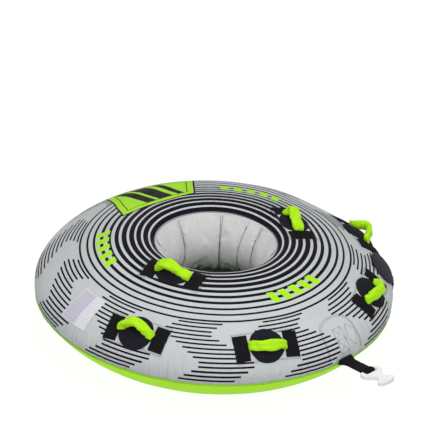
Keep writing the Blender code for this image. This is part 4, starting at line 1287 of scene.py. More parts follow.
def grip_root(azim, dist):
    """Root of a grip on the frame's ring, which has flat faces every ten degrees."""
    step = 10.0
    middle = math.radians((math.floor(azim / step) + 0.5) * step)
    angle = math.radians(azim)
    radius, height = TOP.rz(dist)
    radius = radius * math.cos(math.radians(step / 2)) / math.cos(angle - middle)
    normal_r, normal_z = (float(n) for n in TOP.look_up(TOP.normals, dist))
    radius = radius + normal_r * GRIP_AXIS_LIFT
    return Vector((radius * math.cos(angle), radius * math.sin(angle),
                   height + normal_z * GRIP_AXIS_LIFT))


def grip_axes(name):
    """The grip's unit vectors along, up and sideways, and the middle of its turning axis."""
    azim, dist, lean = HANDLES[name]
    out = TOP.axes(dist, azim)[2]
    half = math.degrees(GRIP_HALF_SPAN / TOP.rz(dist)[0])
    first, last = grip_root(azim - half, dist), grip_root(azim + half, dist)
    along = (last - first).normalized()
    joint = next(j for j in frame["joints"] if j["child"] == name + "_grip")
    middle = Vector(joint["pos_m"])
    if middle.length < 1e-9:        # a joint left at the origin has no place of its own
        middle = (first + last) / 2
    square = (out - along * out.dot(along)).normalized()
    side = along.cross(square)
    lean = math.radians(lean)
    up = square * math.cos(lean) + side * math.sin(lean)
    wide = side * math.cos(lean) - square * math.sin(lean)
    return along, up, wide, middle


def sleeve_line(knots):
    """The sleeve's middle line, resampled and smoothed."""
    knots = np.array(knots, float)
    lengths = path_lengths(knots)
    fine = np.linspace(0, lengths[-1], 900)
    line = np.stack([np.interp(fine, lengths, knots[:, i]) for i in range(3)], 1)
    kernel = np.exp(-(np.linspace(-2.2, 2.2, 111) ** 2))
    kernel /= kernel.sum()
    padded = np.concatenate([2 * line[:1] - line[55:0:-1], line,
                             2 * line[-1:] - line[-2:-57:-1]])
    return np.stack([np.convolve(padded[:, i], kernel, "valid") for i in range(3)], 1)


def grip_sleeve(name, line, half_width, half_depth, axes):
    """Padded arch with a sewn seam along its outside."""
    along, up, wide, middle = (np.array(v) for v in axes)
    rings, around = 62, 26
    end_width, end_depth = 0.0195, 0.0058
    lengths = path_lengths(line)
    even = np.linspace(0, lengths[-1], rings)
    x, height, shift = (np.interp(even, lengths, line[:, i]) for i in range(3))
    slope = unit(np.stack([np.gradient(x), np.gradient(height)], 1))
    for _ in range(2):
        slope[1:-1] = (slope[:-2] + 2 * slope[1:-1] + slope[2:]) / 4
        slope = unit(slope)
    centre = middle + x[:, None] * along + height[:, None] * up + shift[:, None] * wide
    normal = -slope[:, 1:2] * along + slope[:, 0:1] * up       # outwards from the arch
    part = np.linspace(0, 1, rings)
    full = smoothstep(np.minimum(part, 1 - part) / 0.11)
    width = (end_width + (half_width - end_width) * full
             + 0.0010 * np.sin(part * 9 + pad_rng.uniform(0, 6)) * full)
    depth = end_depth + (half_depth - end_depth) * np.sqrt(full)
    turn = np.linspace(0, 2 * np.pi, around, endpoint=False) + np.pi / 2
    cos, sin = np.cos(turn), np.sin(turn)
    inner_side = np.clip(-sin, 0, 1)
    ripple = (0.0009 * np.sin(part * 46 + pad_rng.uniform(0, 6))[:, None]
              * inner_side[None, :] * full[:, None])
    ripple = ripple + 0.0007 * np.sin(part[:, None] * 17 + turn[None, :] * 2
                                      + pad_rng.uniform(0, 6))
    across = (width[:, None] + ripple) * signed_power(cos, 0.86)[None, :]
    rise = (depth[:, None] + ripple) * signed_power(sin, 0.86)[None, :]
    points = centre[:, None, :] + wide * across[..., None] + normal[:, None, :] * rise[..., None]
    seam = np.exp(-((turn - np.pi / 2 + np.pi) % (2 * np.pi) - np.pi) ** 2 / 0.02)
    points = points - normal[:, None, :] * (0.0016 * seam[None, :] * full[:, None])[..., None]
    sleeve = tube(name + "_grip_sleeve_visual", points, SLEEVE_FABRIC)
    pins = np.zeros((rings, around))
    pins[:3] = pins[-3:] = 1.0
    pins[:, 0] = 0.75                # the seam
    pins = np.concatenate([pins.ravel(), [1.0, 1.0]])
    cloth_on(sleeve, pins, pressure=1.6, shrink=-0.055, cap=0.0035, bend=0.25,
             done=lambda ob, coords: subdivide(ob))
    ride(sleeve, name + "_grip", "green_padding", name + "_grip_sleeve")
    pressed.append((sleeve, name + "_grip_tilt", tuple(axes[2]), tuple(axes[3])))


def grip_tail(name, side, sign, laid, line, axes):
    """Webbing out of the sleeve's end and under the anchor, twisting from the cover into the sleeve."""
    along, up, wide, middle = (np.array(v) for v in axes)
    azim, dist, _ = HANDLES[name]
    down = np.array(TOP.axes(dist, azim)[1])
    cos, sin = boxy_ring(14, 0.35, 0.7)
    rings = []
    for x in np.linspace(0.0865, 0.048, 26):
        # 0 flat on the cover, 1 in the sleeve
        part = smoothstep((TAIL_FLAT_X - x) / (TAIL_FLAT_X - TAIL_SLEEVE_X))
        flat = laid.at(sign * x, 0.0, TAIL_LIFT)
        height, shift = (float(np.interp(sign * x, line[:, 0], line[:, i])) for i in (1, 2))
        raised = middle + along * (sign * x) + up * height + wide * shift
        centre = flat * (1 - part) + raised * part
        across = unit(down * (1 - part) + wide * part)
        normal = unit(np.cross(across, along))
        half_width = 0.0125 - 0.0038 * math.sin(math.pi * part)
        rings.append(centre + across * (half_width * cos)[:, None]
                     + normal * (0.0013 * sin)[:, None])
    tail = tube("%s_grip_tail_%s" % (name, side), np.array(rings), BLACK_WEBBING)
    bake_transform(tail)
    if side == "left":
        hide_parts(name + "_grip_webbing")


for name, (_, handle_dist, _) in HANDLES.items():
    azim, dist, turn, spacing, length = SEWN[name]
    laid = Laid(azim, dist, turn)
    backing_patch(name, laid, spacing, length)
    for side, sign in SIDES:
        anchor("%s_anchor_%s" % (name, side), laid, sign * spacing, length)
    knuckle_pad(name, laid, 1.0 if handle_dist > 0.15 else 0.80)
    knots, half_width, half_depth = SLEEVES[name]
    axes, line = grip_axes(name), sleeve_line(knots)
    grip_sleeve(name, line, half_width, half_depth, axes)
    for side, sign in SIDES:
        grip_tail(name, side, sign, laid, line, axes)

# ----------------------------------------------------------------- valve
valve_around, valve_down, valve_out = TOP.axes(VALVE_DIST, VALVE_AZ)
cap_low, cap_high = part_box("valve_cap")
valve_base = (cap_low + cap_high) / 2 - valve_out * 0.0025
# turned profiles: radius, height along the valve's axis
BODY_PROFILE = [
    (0.0072, -0.0155), (0.0215, -0.0155), (0.0220, -0.0150), (0.0220, -0.0145),
    (0.0215, -0.0140), (0.0150, -0.0140), (0.0145, -0.0135), (0.0145, 0.0022),
    (0.0140, 0.0028), (0.0112, 0.0028), (0.0108, 0.0024), (0.0108, -0.0070),
    (0.0104, -0.0075), (0.0072, -0.0075)]
CAP_PROFILE = [
    (0.0090, -0.0045), (0.0096, -0.0040), (0.0096, 0.0030), (0.0168, 0.0034), (0.0175, 0.0040),
    (0.0176, 0.0072), (0.0172, 0.0082), (0.0160, 0.0091), (0.0120, 0.0094), (0.0112, 0.0090),
    (0.0104, 0.0083), (0.0060, 0.0083), (0.0052, 0.0092), (0.0040, 0.0095)]
CAP_RIBS, RIB_DEPTH, RIBS_BEYOND = 24, 0.0007, 0.0150
FLAP_THICKNESS = 0.0017


def valve_point(radius, angle, height):
    return tuple(valve_base + valve_around * (radius * math.cos(angle))
                 + valve_down * (radius * math.sin(angle)) + valve_out * height)


def valve_body():
    angles = [2 * math.pi * i / 56 for i in range(56)]
    points = [[valve_point(r, angle, z) for r, z in BODY_PROFILE] for angle in angles]
    body = torus("valve_body_visual", np.array(points), BLACK_PLASTIC, smooth=35)
    ride(body, "tube", "black_plastic", "valve_body")


def valve_cap():
    """Screw cap; shallow grips are cut round its widest part."""
    def ribbed(radius, angle):
        if radius > RIBS_BEYOND:
            radius = radius - RIB_DEPTH * (0.5 - 0.5 * math.cos(CAP_RIBS * angle)) ** 2
        return radius
    angles = [2 * math.pi * i / 96 for i in range(96)]
    points = [[valve_point(ribbed(r, angle), angle, z) for angle in angles]
              for r, z in CAP_PROFILE]
    cap = tube("valve_cap_visual", np.array(points), BLACK_PLASTIC, smooth=35)
    ride(cap, "valve_cap", "black_plastic", "valve_cap")


def leaf(points):
    """Unit-disc points as the flap's leaf, pointed a little at its two ends."""
    rho, theta = polar(points)
    scale = 1 + 0.035 * np.cos(2 * theta) - 0.035
    return (rho * scale * np.cos(theta) * FLAP_HALF_WIDTH,
            rho * scale * np.sin(theta) * FLAP_HALF_LENGTH)


def flap_height(rho):
    return 0.0050 + 0.0095 * (1 - rho ** 3)


def valve_flap(laid):
    """Stiffened leaf of fabric with a sewn hem."""
    disc, faces = disc_grid(np.concatenate([np.linspace(0.10, 0.86, 10),
                                            [0.90, 0.93, 0.96, 0.985, 1.0]]), 96)
    rho, theta = polar(disc)
    x, y = leaf(disc)
    lift = flap_height(rho) - 0.0008 * bell(rho - 0.93, 0.012) + 0.0006 * bell(rho - 0.975, 0.02)
    lift = (lift + 0.0007 * np.sin(theta * 11 + 1.0) * rho ** 4
            + 0.0009 * np.sin(x * 55 + 0.6) * np.sin(y * 70))
    verts = np.concatenate([laid.at(x, y, lift + FLAP_THICKNESS), laid.at(x, y, lift)])
    flap = solid("valve_flap_visual", verts, faces, FLAP_FABRIC)
    subdivide(flap)
    ride(flap, "valve_flap", "black_neoprene", "valve_flap")
    turn, hem = np.linspace(0, 2 * np.pi, 160), 0.945
    x, y = leaf(np.stack([hem * np.cos(turn), hem * np.sin(turn)], 1))
    stitches("valve_flap_stitching", [laid.line(x, y, flap_height(hem) + FLAP_THICKNESS + 0.0002)],
             BLACK_THREAD, "black_neoprene", body="valve_flap")


def flap_hinge(laid):
    """Strip sewn to the flap's lower edge and to the cover below it."""
    middle = FLAP_HALF_LENGTH + 0.006
    x, down = np.meshgrid(np.linspace(-0.034, 0.034, 34), np.linspace(-0.012, 0.020, 14))
    y = middle + down
    on_leaf = np.minimum(y, 0.99 * FLAP_HALF_LENGTH) / FLAP_HALF_LENGTH
    rho = np.clip(np.hypot(x / FLAP_HALF_WIDTH, on_leaf), 0, 1)
    part = smoothstep((down + 0.010) / 0.020)
    lift = (flap_height(rho) + FLAP_THICKNESS + 0.0004) * (1 - part) + 0.0008 * part
    hinge = sheet("valve_flap_hinge", laid.at(x, y, lift + 0.0010), laid.at(x, y, lift),
                  FLAP_FABRIC, uv=np.stack([x, down], -1))
    tuple(laid.at(0.0, middle + 0.010, 0.006))
    tuple(laid.at(0.0, middle - 0.008, 0.006))
    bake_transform(hinge)


valve_body()
valve_cap()
valve_site = Laid(VALVE_AZ, VALVE_DIST)
valve_flap(valve_site)
flap_hinge(valve_site)


# --------------------------------------------------------------- care label
def care_label():
    az_low, az_high, near, far = 162.0, 174.4, 0.275, 0.419
    azim, dist = np.meshgrid(np.linspace(az_low, az_high, 40), np.linspace(near, far, 34))
    across, down = (azim - az_low) / (az_high - az_low), (dist - near) / (far - near)
    ripple = (0.0007 * np.sin(across * 9 + 1.2) * np.sin(down * 7 + 0.4)
              + 0.0012 * (bell(down - 0.62, 0.10) * bell(across - 0.9, 0.25)))
    ripple = np.clip(ripple, -0.0004, 0.003)
    label = sheet("care_label_visual", TOP.at(dist, azim, 0.0011 + ripple),
                  TOP.at(dist, azim, 0.0005 + ripple), LABEL_SATIN,
                  uv=np.stack([across, down], -1), smooth=None)
    ride(label, "tube", "label_satin", "care_label")
    corners = [(near + 0.003, az_low + 0.35), (near + 0.003, az_high - 0.35),
               (far - 0.003, az_high - 0.35), (far - 0.003, az_low + 0.35)]
    stitches("care_label_stitching", [cover_path(corners, True, 0.0013, 0.006)], GREY_THREAD,
             "label_satin", length=0.003)


care_label()

# ------------------------------------------------------------------ tow point
# corners of the two patches: distance, azimuth
PATCH_LEFT = [(0.351, 268.1), (0.351, 272.3), (0.461, 272.3), (0.461, 268.1)]
PATCH_RIGHT = [(0.352, 274.6), (0.392, 277.9), (0.452, 275.7), (0.412, 272.7)]
ARCH_AZ = 319.3 - PRINT_TURN
STRAP_LAYER = 0.0016             # each layer's middle from the strap's middle
# connector outline, its +x half: x, y from the bar
CONNECTOR_HALF = [
    (0.0, 0.0042), (0.030, 0.0045), (0.043, 0.0025), (0.0475, -0.006), (0.0475, -0.018),
    (0.0435, -0.029), (0.032, -0.041), (0.021, -0.050), (0.0168, -0.058), (0.0166, -0.066),
    (0.021, -0.073), (0.031, -0.0775), (0.0385, -0.083), (0.0400, -0.091), (0.0368, -0.100),
    (0.027, -0.1055), (0.012, -0.1078), (0.0, -0.1080)]
CONNECTOR_HALF_HEIGHT = 0.0086


def tow_patch(name, corners):
    """Padded patch on the top cover between four corners."""
    lift, thickness = 0.0005, 0.0008
    u, v = np.meshgrid(np.linspace(0, 1, 22), np.linspace(0, 1, 22))
    corner = np.array(corners, float)
    place = (corner[0] * (1 - u)[..., None] * (1 - v)[..., None]
             + corner[1] * u[..., None] * (1 - v)[..., None]
             + corner[2] * (u * v)[..., None] + corner[3] * (1 - u)[..., None] * v[..., None])
    dist, azim = place[..., 0], place[..., 1]
    edge = np.minimum(np.minimum(u, 1 - u), np.minimum(v, 1 - v))
    puff = (thickness * (0.4 + 0.6 * np.clip(edge / 0.06, 0, 1))
            + 0.0006 * np.clip((edge - 0.1) / 0.2, 0, 1))
    ob = sheet(name + "_visual", TOP.at(dist, azim, lift + puff),
               TOP.at(dist, azim, lift - 0.0003), PLAIN_NYLON,
               uv=np.stack([azim * 0.011, dist], -1))
    ride(ob, "tube", "grey_nylon", name)


def inset(corners):
    corners = np.array(corners, float)
    middle = corners.mean(0)
    return [tuple(middle + (p - middle) * (1 - 0.10)) for p in corners]


def tow_stitching():
    """Crossed boxes on the left patch, an outline on the right, and an arch round them."""
    lift, step = 0.0020, 0.003
    box = inset(PATCH_LEFT)
    middle = ((0.405, box[0][1]), (0.405, box[1][1]))
    lines = [cover_path(box, True, lift, step)]
    for path in (list(middle), [box[0], middle[1]], [box[1], middle[0]],
                 [middle[0], box[2]], [middle[1], box[3]]):
        lines.append(cover_path(path, False, lift, step))
    lines.append(cover_path(inset(PATCH_RIGHT), True, lift, step))
    turn = np.linspace(-math.pi / 2, math.pi / 2, 60)
    azim = ARCH_AZ + 7.6 * signed_power(np.sin(turn), 0.83)
    dist = 0.372 - 0.066 * np.abs(np.cos(turn)) ** 0.83
    for inward in (0.0, 0.006):
        shift = inward * 60
        azims = np.concatenate([[azim[0] + shift], azim - np.sign(azim - ARCH_AZ) * shift,
                                [azim[-1] - shift]])
        dists = np.concatenate([[0.470], dist + inward, [0.470]])
        lines.append(cover_path(list(zip(dists, azims)), False, 0.0007, 0.004))
    stitches("tow_patch_stitching", lines, BLACK_THREAD, "grey_nylon",
             length=0.0040, gap=0.0010, radius=0.0006)


def strap_root():
    """Folded root of the strap, sewn into the rim."""
    wide, narrow, rows = 0.036, 0.0278, 20
    cos, sin = boxy_ring(40, 0.30, 0.55)
    part = (np.arange(rows) / (rows - 1))[:, None]
    y = -0.6835 - 0.0300 * part
    x = (wide + (narrow - wide) * np.minimum(1.0, part * 1.1)) * cos
    rise = (0.0105 * (1 - part) ** 1.2 + 0.0030) * sin
    bend = np.abs(y) - np.sqrt(np.maximum(0.0, y ** 2 - (x * (1 - part)) ** 2))
    z = TOW_Z + 0.0010 * np.sin(part * 5) + rise * (1 + 0.06 * np.sin(x * 200))
    root = tube("tow_anchor_webbing_visual", np.stack([x, y + bend * 0.9, z], -1), BLACK_WEBBING,
                uv=uv_grid(np.linspace(0, 0.14, 41), np.linspace(0, 0.03, rows)))
    ride(root, "tube", "black_webbing", "tow_anchor_webbing")


def strap_path():
    """Out along the upper layer, round the connector's bar and back: y, z from TOW_Z."""
    straight = np.linspace(-0.700, LOOP_Y + 0.022, 22)
    parts = np.linspace(0, 1, 8)[1:]
    points = [(-0.690, STRAP_LAYER)]
    points += [(y, STRAP_LAYER + 0.0004 * math.sin(y * 120)) for y in straight]
    points += [(LOOP_Y + 0.022 - 0.014 * u, STRAP_LAYER + 0.0060 * smoothstep(u)) for u in parts]
    points += [(LOOP_Y + 0.0082 * math.cos(a) * 1.05, 0.0086 * math.sin(a))
               for a in np.radians(np.linspace(58, 302, 22))]
    points += [(LOOP_Y + 0.008 + 0.014 * u, -0.0076 + 0.0060 * smoothstep(u)) for u in parts]
    points += [(y, -STRAP_LAYER) for y in np.linspace(LOOP_Y + 0.022, -0.700, 22)[1:]]
    return np.array(points + [(-0.690, -STRAP_LAYER)])


def tow_strap():
    path = strap_path()
    along = unit(np.gradient(path, axis=0))
    cos, sin = boxy_ring(36, 0.22, 0.6)
    rise = 0.00105 * sin
    y = path[:, :1] - along[:, 1:] * rise
    z = TOW_Z + path[:, 1:] + along[:, :1] * rise
    points = np.stack([np.broadcast_to(0.0275 * cos, y.shape), y, z], -1)
    strap = tube("tow_strap_visual", points, BLACK_WEBBING,
                 uv=uv_grid(np.linspace(0, 0.114, 37), path_lengths(path)))
    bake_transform(strap)
    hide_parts("tow_strap")


def strap_lap():
    """The sewn-down end of the webbing, a second layer near the loop, and its stitching."""
    half_width = 0.0270
    x, y = np.meshgrid(np.linspace(-half_width, half_width, 26),
                       np.linspace(LOOP_Y + 0.060, LOOP_Y + 0.006, 24))
    edge = np.minimum(half_width - np.abs(x), np.minimum(LOOP_Y + 0.060 - y, 0.05))
    thickness = 0.0020 * np.clip(edge / 0.0012, 0, 1) ** 0.5
    base = TOW_Z + 0.0028 + 0.0062 * smoothstep((LOOP_Y + 0.022 - y) / 0.016)
    lap = sheet("tow_strap_lap", np.stack([x, y, base + thickness], -1),
                np.stack([x, y, base], -1), BLACK_WEBBING, uv=np.stack([x, y], -1))
    ride(lap, "tow_strap", "black_webbing")
    half, top, low = 0.022, LOOP_Y + 0.056, LOOP_Y + 0.030
    path = [(-half, top), (half, top), (half, low), (-half, low), (-half, top),
            (half, low), (half, top), (-half, low)]
    part = np.linspace(0, 1, 12)
    points = np.concatenate([
        np.stack([x_a + (x_b - x_a) * part, y_a + (y_b - y_a) * part,
                  np.full(12, TOW_Z + 0.0051)], 1)
        for (x_a, y_a), (x_b, y_b) in zip(path, path[1:])])
    stitches("tow_strap_stitching", [(points, np.tile([0, 0, 1.0], (len(points), 1)))],
             DARK_THREAD, "black_webbing", body="tow_strap")


def smooth_loop(points, steps):
    """Closed Catmull-Rom curve through the points."""
    p = np.array(points)
    count, curve = len(p), []
    for i in range(count):
        a, b, c, d = p[i - 1], p[i], p[(i + 1) % count], p[(i + 2) % count]
        for t in np.linspace(0, 1, steps, endpoint=False):
            curve.append(0.5 * ((2 * b) + (-a + c) * t + (2 * a - 5 * b + 4 * c - d) * t * t
                                + (-a + 3 * b - 3 * c + d) * t ** 3))
    return np.array(curve)


def tow_connector():
    """Moulded loop end, neck and wide nose."""
    mirrored = [(-x, y) for x, y in reversed(CONNECTOR_HALF[1:-1])]
    bm = bmesh.new()
    face = bm.faces.new([bm.verts.new((x, LOOP_Y + y, TOW_Z - CONNECTOR_HALF_HEIGHT))
                         for x, y in smooth_loop(CONNECTOR_HALF + mirrored, 4)])
    extruded = bmesh.ops.extrude_face_region(bm, geom=[face])
    bmesh.ops.translate(bm, verts=[g for g in extruded["geom"] if isinstance(g, bmesh.types.BMVert)],
                        vec=(0, 0, 2 * CONNECTOR_HALF_HEIGHT))
    bmesh.ops.recalc_face_normals(bm, faces=bm.faces)
    connector = bmesh_object("tow_connector_visual", bm)

    # cuts: y from the bar, z from the middle, size, rounding
    cuts = [(-0.0125, 0, (0.060, 0.0160, 0.05), 0.003)]
    for sign in (-1, 1):
        cuts += [(0.002, sign * 0.0130, (0.060, 0.030, 0.0190), 0.002),
                 # shallow pockets in the neck and the nose
                 (-0.058, sign * 0.0106, (0.016, 0.026, 0.0072), 0.002),
                 (-0.0925, sign * 0.0106, (0.052, 0.012, 0.0070), 0.002)]
    cutters = []
    for i, (y, z, size, rounding) in enumerate(cuts):
        bm = bmesh.new()
        place = Matrix.Translation((0, LOOP_Y + y, TOW_Z + z)) @ Matrix.Diagonal((*size, 1.0))
        bmesh.ops.create_cube(bm, size=1.0, matrix=place)
        bmesh.ops.bevel(bm, geom=bm.edges[:], offset=rounding, segments=3, affect="EDGES")
        cutters.append(bmesh_object("cutter%d" % i, bm))
        cut = connector.modifiers.new("cut%d" % i, "BOOLEAN")
        cut.operation, cut.solver, cut.object = "DIFFERENCE", "EXACT", cutters[-1]
    remesh = connector.modifiers.new("remesh", "REMESH")
    remesh.mode, remesh.voxel_size = "VOXEL", 0.0011
    smooth = connector.modifiers.new("smooth", "SMOOTH")
    smooth.factor, smooth.iterations = 0.5, 9
    apply_modifiers(connector)
    for cutter in cutters:
        bpy.data.objects.remove(cutter)
    connector.data.materials.clear()
    connector.data.materials.append(WHITE_PLASTIC)
    connector.data.shade_smooth()
    ride(connector, "tow_connector", "white_plastic", "tow_connector")


tow_patch("tow_patch_left", PATCH_LEFT)
tow_patch("tow_patch_right", PATCH_RIGHT)
tow_stitching()
strap_root()
tow_strap()
strap_lap()
tow_connector()

# ------------------------------------------------------------------------ zip
ZIP_DIST = float(np.interp(-ZIP_RADIUS, -BOTTOM.points[:60, 0], BOTTOM.dist[:60]))
TOOTH_PITCH = 0.0030


def zip_tape():
    sewn = 0.0105
    azim, across = np.meshgrid(np.linspace(*ZIP_AZ, 120), np.linspace(-0.014, 0.014, 15))
    lift = 0.0014 + 0.0004 * bell(across, 0.004) - 0.0003 * bell(np.abs(across) - sewn, 0.001)
    tape = sheet("zipper_tape_visual", BOTTOM.at(ZIP_DIST + across, azim, lift),
                 BOTTOM.at(ZIP_DIST + across, azim, 0.0002), ZIP_TAPE,
                 uv=np.stack([across, np.radians(azim) * ZIP_RADIUS], -1))
    ride(tape, "tube", "zip_tape", "zipper_tape")
    return [BOTTOM.line(ZIP_DIST + offset, np.linspace(*ZIP_AZ, 240), 0.0015)
            for offset in (-sewn, sewn)]


def zip_teeth():
    """Tapered blocks, each set off to one side of the middle in turn."""
    count = int(math.radians(ZIP_AZ[1] - ZIP_AZ[0] - 3) * ZIP_RADIUS / TOOTH_PITCH)
    angles = np.radians(ZIP_AZ[0] + 1.5) + np.arange(count) * TOOTH_PITCH / ZIP_RADIUS
    cube = np.array([(x, y, z) for z in (0, 1) for y in (-1, 1) for x in (-1, 1)], float)
    cube_faces = np.array([(0, 2, 3, 1), (4, 5, 7, 6), (0, 1, 5, 4), (2, 6, 7, 3),
                           (0, 4, 6, 2), (1, 3, 7, 5)])
    turn = cube[:, 0] * 0.00075 * (1 - 0.3 * cube[:, 2]) / ZIP_RADIUS
    across = cube[:, 1] * 0.0022 * (1 - 0.35 * cube[:, 2])
    verts = [BOTTOM.at(ZIP_DIST + (across + (0.0009 if i % 2 else -0.0009)),
                       np.degrees(angle + turn), 0.0016 + cube[:, 2] * 0.0013)
             for i, angle in enumerate(angles)]
    faces = np.concatenate([cube_faces + 8 * i for i in range(count)])
    teeth = solid("zipper_teeth", np.concatenate(verts), [faces], BLACK_PLASTIC, smooth=30)
    ride(teeth, "tube", "black_plastic")


def zip_metal(name, half_size, cuts, before, after):
    """Bevelled metal block at the frame's piece; before and after shape it round the cuts."""
    coords = np.array([v.co for v in frame["nodes"][name].data.vertices], float)
    centre = coords.reshape(-1, 3).mean(0)
    axes = [np.array(v) for v in BOTTOM.axes(ZIP_DIST, ZIP_AZ[0] + 3.0)]
    bm = bmesh.new()
    bmesh.ops.create_cube(bm, size=2.0)
    before(bm)
    lengthwise = [e for e in bm.edges if abs(e.verts[0].co.x - e.verts[1].co.x) > 1]
    bmesh.ops.subdivide_edges(bm, edges=lengthwise, cuts=cuts)
    after(bm)
    sharp = [e for e in bm.edges if len(e.link_faces) == 2 and e.calc_face_angle(0) > 0.9]
    bmesh.ops.bevel(bm, geom=sharp, offset=0.10, segments=2, affect="EDGES")
    bmesh.ops.recalc_face_normals(bm, faces=bm.faces)
    for vert in bm.verts:
        x, y, z = (np.array(vert.co)[i] * half_size[i] for i in range(3))
        vert.co = Vector(centre + axes[0] * x + axes[1] * y + axes[2] * z)
    ob = bmesh_object(name + "_visual", bm)
    ob.data.materials.append(DARK_METAL)
    ob.data.shade_smooth()
    ob.data.set_sharp_from_angle(angle=math.radians(40))
    ride(ob, name, "dark_metal", name)


def pinch_slider(bm):
    for vert in bm.verts:
        vert.co.y *= 1 - 0.28 * (1 - vert.co.x ** 2)
        if vert.co.z > 0 and abs(vert.co.x) < 0.3:
            vert.co.z *= 1.25


def widen_pull(bm):
    for vert in bm.verts:
        vert.co.y *= 1.0 if vert.co.x < 0 else 1.18


def sink_pull(bm):
    faces = [f for f in bm.faces
             if abs(f.normal.z) > 0.9 and 0.2 < f.calc_center_median().x < 0.7]
    bmesh.ops.inset_region(bm, faces=faces, thickness=0.12, depth=-0.35)


zip_lines = zip_tape()
zip_teeth()
stitches("zipper_stitching", zip_lines, DARK_THREAD, "zip_tape")
zip_metal("zipper_slider", (0.0070, 0.0050, 0.0023), 3, lambda bm: None, pinch_slider)
zip_metal("zipper_pull", (0.0150, 0.0035, 0.0012), 5, widen_pull, sink_pull)

# ------------------------------------------------- materials on the frame's pieces
for name, mat in (("flap_loop_tape", HOOK_AND_LOOP), ("flap_hook_tape", HOOK_AND_LOOP),
                  ("bladder", BLADDER_FILM), ("valve_diaphragm", GREY_RUBBER)):
    for slot in frame["nodes"][name].material_slots:
        slot.material = mat
kept_names = {m.name for m in (BLADDER_FILM, GREY_RUBBER, HOOK_AND_LOOP)}
for ob in frame["nodes"].values():
    if ob.hide_render:
        continue
    for slot in ob.material_slots:
        if slot.material is None or slot.material.name.split(".")[0] not in kept_names:
            slot.material = BLACK_PLASTIC

run_cloth()
for ob, joint_name, across, middle in pressed:
    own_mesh(ob)
    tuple(across)
    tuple(middle)

# ------------------------------------------------------------------ stitching
full_az = np.linspace(0, 360, 1440)
stitches("mouth_stitching", [TOP.line(MOUTH_DIST + q, full_az) for q in (0.0045, 0.0075)],
         DARK_THREAD, "grey_nylon", length=0.004, gap=0.002)
stitches("rim_stitching", [TOP.line(RIM_DIST - 0.0060, full_az)],
         GREY_THREAD, "grey_nylon", length=0.004, gap=0.002)
stitches("rim_stitching_low", [BOTTOM.line(0.0065, full_az)],
         PIPING_NYLON, "green_nylon", length=0.004, gap=0.002)


def wall_stitching():
    """Two lines beside each wall seam, and one along the leaning tuck."""
    grid, normal = wall_surface["grid"], wall_surface["normal"]
    lines = []
    for column in sorted(seam_columns):
        for _, sign in SIDES:
            beside = (column + sign) % WALL_STEPS
            ups = normal[3:-3, beside]
            lines.append((grid[3:-3, beside] + ups * 0.0006, ups))
    rows = np.arange(4, WALL_ROWS - 5)
    before, part = tuck_column[rows].astype(int), (tuck_column[rows] % 1.0)[:, None]
    after = (before + 1) % WALL_STEPS
    points, ups = (table[2 * rows, before] * (1 - part) + table[2 * rows, after] * part
                   for table in (grid, normal))
    lines.append((points + ups * 0.0006, ups))
    stitches("wall_stitching", lines, DARK_THREAD, "grey_nylon",
             length=0.0044, gap=0.0012, radius=0.0008)


wall_stitching()
stitches("handle_patch_stitching", patch_lines, DARK_THREAD, "grey_nylon",
         length=0.0046, gap=0.0018, radius=0.0007)
stitches("handle_anchor_stitching", webbing_lines, BLACK_THREAD, "black_webbing")
stitches("rim_tuck_stitching",
         [TOP.line(np.linspace(0.405, RIM_DIST - 0.004, 24), a + 0.25, 0.0005) for a in TUCKS],
         GREY_THREAD, "grey_nylon")

# --------------------------------------------------------- stage, light, camera
# brightness of floor and world: as light sources, and as the camera sees them
FLOOR_LIGHT, FLOOR_SEEN = 0.42, 0.93
WORLD_LIGHT, WORLD_SEEN = 0.56, 0.98
FLOOR_HALF_SIZE = 7.0
KEY_POWER, FILL_POWER, TOP_POWER = 42, 13, 16
CAMERA_AZ, CAMERA_ELEVATION, CAMERA_ROLL = -48.7, math.radians(30.27), math.radians(3.04)
VIEW_SIZE = 1.631878558
AIM_Z, AIM_RIGHT, AIM_UP = 0.0687, 0.0045540797, 0.270588235
CAMERA_DISTANCE = 6.0

scene = bpy.context.scene
scene.view_settings.view_transform = "Standard"
scene.view_settings.look = "None"
scene.view_settings.exposure = 0.0


def stage_floor():
    shader = Shader("floor")
    tone = shader.span(shader.noise(2.0, 2.0), 0.4, 0.6)
    shader.finish(shader.mix(tone, (0.120, 0.120, 0.120), (0.115, 0.115, 0.116)), 0.9, spec=0.05)
    seen = shader.new("ShaderNodeLightPath", output="Is Camera Ray")
    shader.set(Emission_Color=(1.0, 1.0, 1.0, 1.0),
               Emission_Strength=seen.mul_add(FLOOR_SEEN - FLOOR_LIGHT, FLOOR_LIGHT))
    bm = bmesh.new()
    bm.faces.new([bm.verts.new((x * FLOOR_HALF_SIZE, y * FLOOR_HALF_SIZE, GROUND - 0.0015))
                  for x, y in ((-1, -1), (1, -1), (1, 1), (-1, 1))])
    ob = bmesh_object("stage_floor", bm)
    ob.data.materials.append(shader.mat)


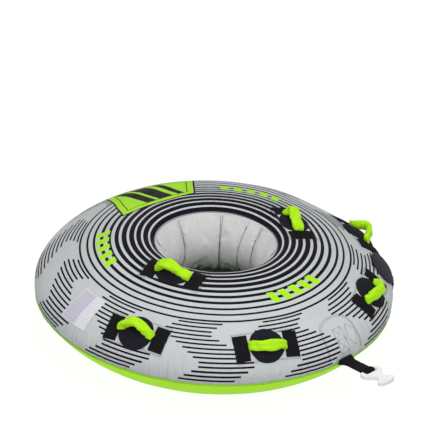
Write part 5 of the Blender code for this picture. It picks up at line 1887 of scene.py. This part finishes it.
def studio_world():
    world = bpy.data.worlds.new("studio")
    world.use_nodes = True
    tree = world.node_tree
    background = tree.nodes["Background"]
    background.inputs[0].default_value = (1.0, 1.0, 1.0, 1.0)
    path = tree.nodes.new("ShaderNodeLightPath")
    seen = Value(tree, path.outputs["Is Camera Ray"])
    put(tree, background.inputs[1], seen.mul_add(WORLD_SEEN - WORLD_LIGHT, WORLD_LIGHT))
    scene.world = world


def camera(turn):
    back = turn @ Vector((0, -math.cos(CAMERA_ELEVATION), math.sin(CAMERA_ELEVATION)))
    level = turn @ Vector((1, 0, 0))
    upright = turn @ Vector((0, math.sin(CAMERA_ELEVATION), math.cos(CAMERA_ELEVATION)))
    right = math.cos(CAMERA_ROLL) * level + math.sin(CAMERA_ROLL) * upright
    up = -math.sin(CAMERA_ROLL) * level + math.cos(CAMERA_ROLL) * upright
    target = Vector((0, 0, AIM_Z)) + right * AIM_RIGHT + up * AIM_UP
    data = bpy.data.cameras.new("camera")
    data.type = "ORTHO"
    data.ortho_scale = VIEW_SIZE
    data.clip_start, data.clip_end = 0.1, 60
    ob = link(data, "camera")
    axes = Matrix((right, up, back)).transposed().to_4x4()
    ob.matrix_world = Matrix.Translation(target + back * CAMERA_DISTANCE) @ axes
    scene.camera = ob


def disc_light(name, place, size, power):
    """Round area light aimed at the origin."""
    light = bpy.data.lights.new(name, "AREA")
    light.shape = "DISK"
    light.size = size
    light.energy = power
    ob = link(light, name)
    ob.location = place
    ob.rotation_mode = "QUATERNION"
    ob.rotation_quaternion = Vector(place).to_track_quat("Z", "Y")


stage_floor()
studio_world()
view_turn = Matrix.Rotation(math.radians(CAMERA_AZ), 3, "Z")
camera(view_turn)
# towards the camera, and to its right
front, beside = view_turn @ Vector((0, -1, 0)), view_turn @ Vector((1, 0, 0))
disc_light("key", tuple(front * 2.6 + beside * 1.2 + Vector((0, 0, 2.6))), 2.2, KEY_POWER)
disc_light("fill", tuple(front * 1.8 - beside * 2.6 + Vector((0, 0, 1.4))), 2.4, FILL_POWER)
disc_light("top", (0, 0, 3.4), 2.0, TOP_POWER)
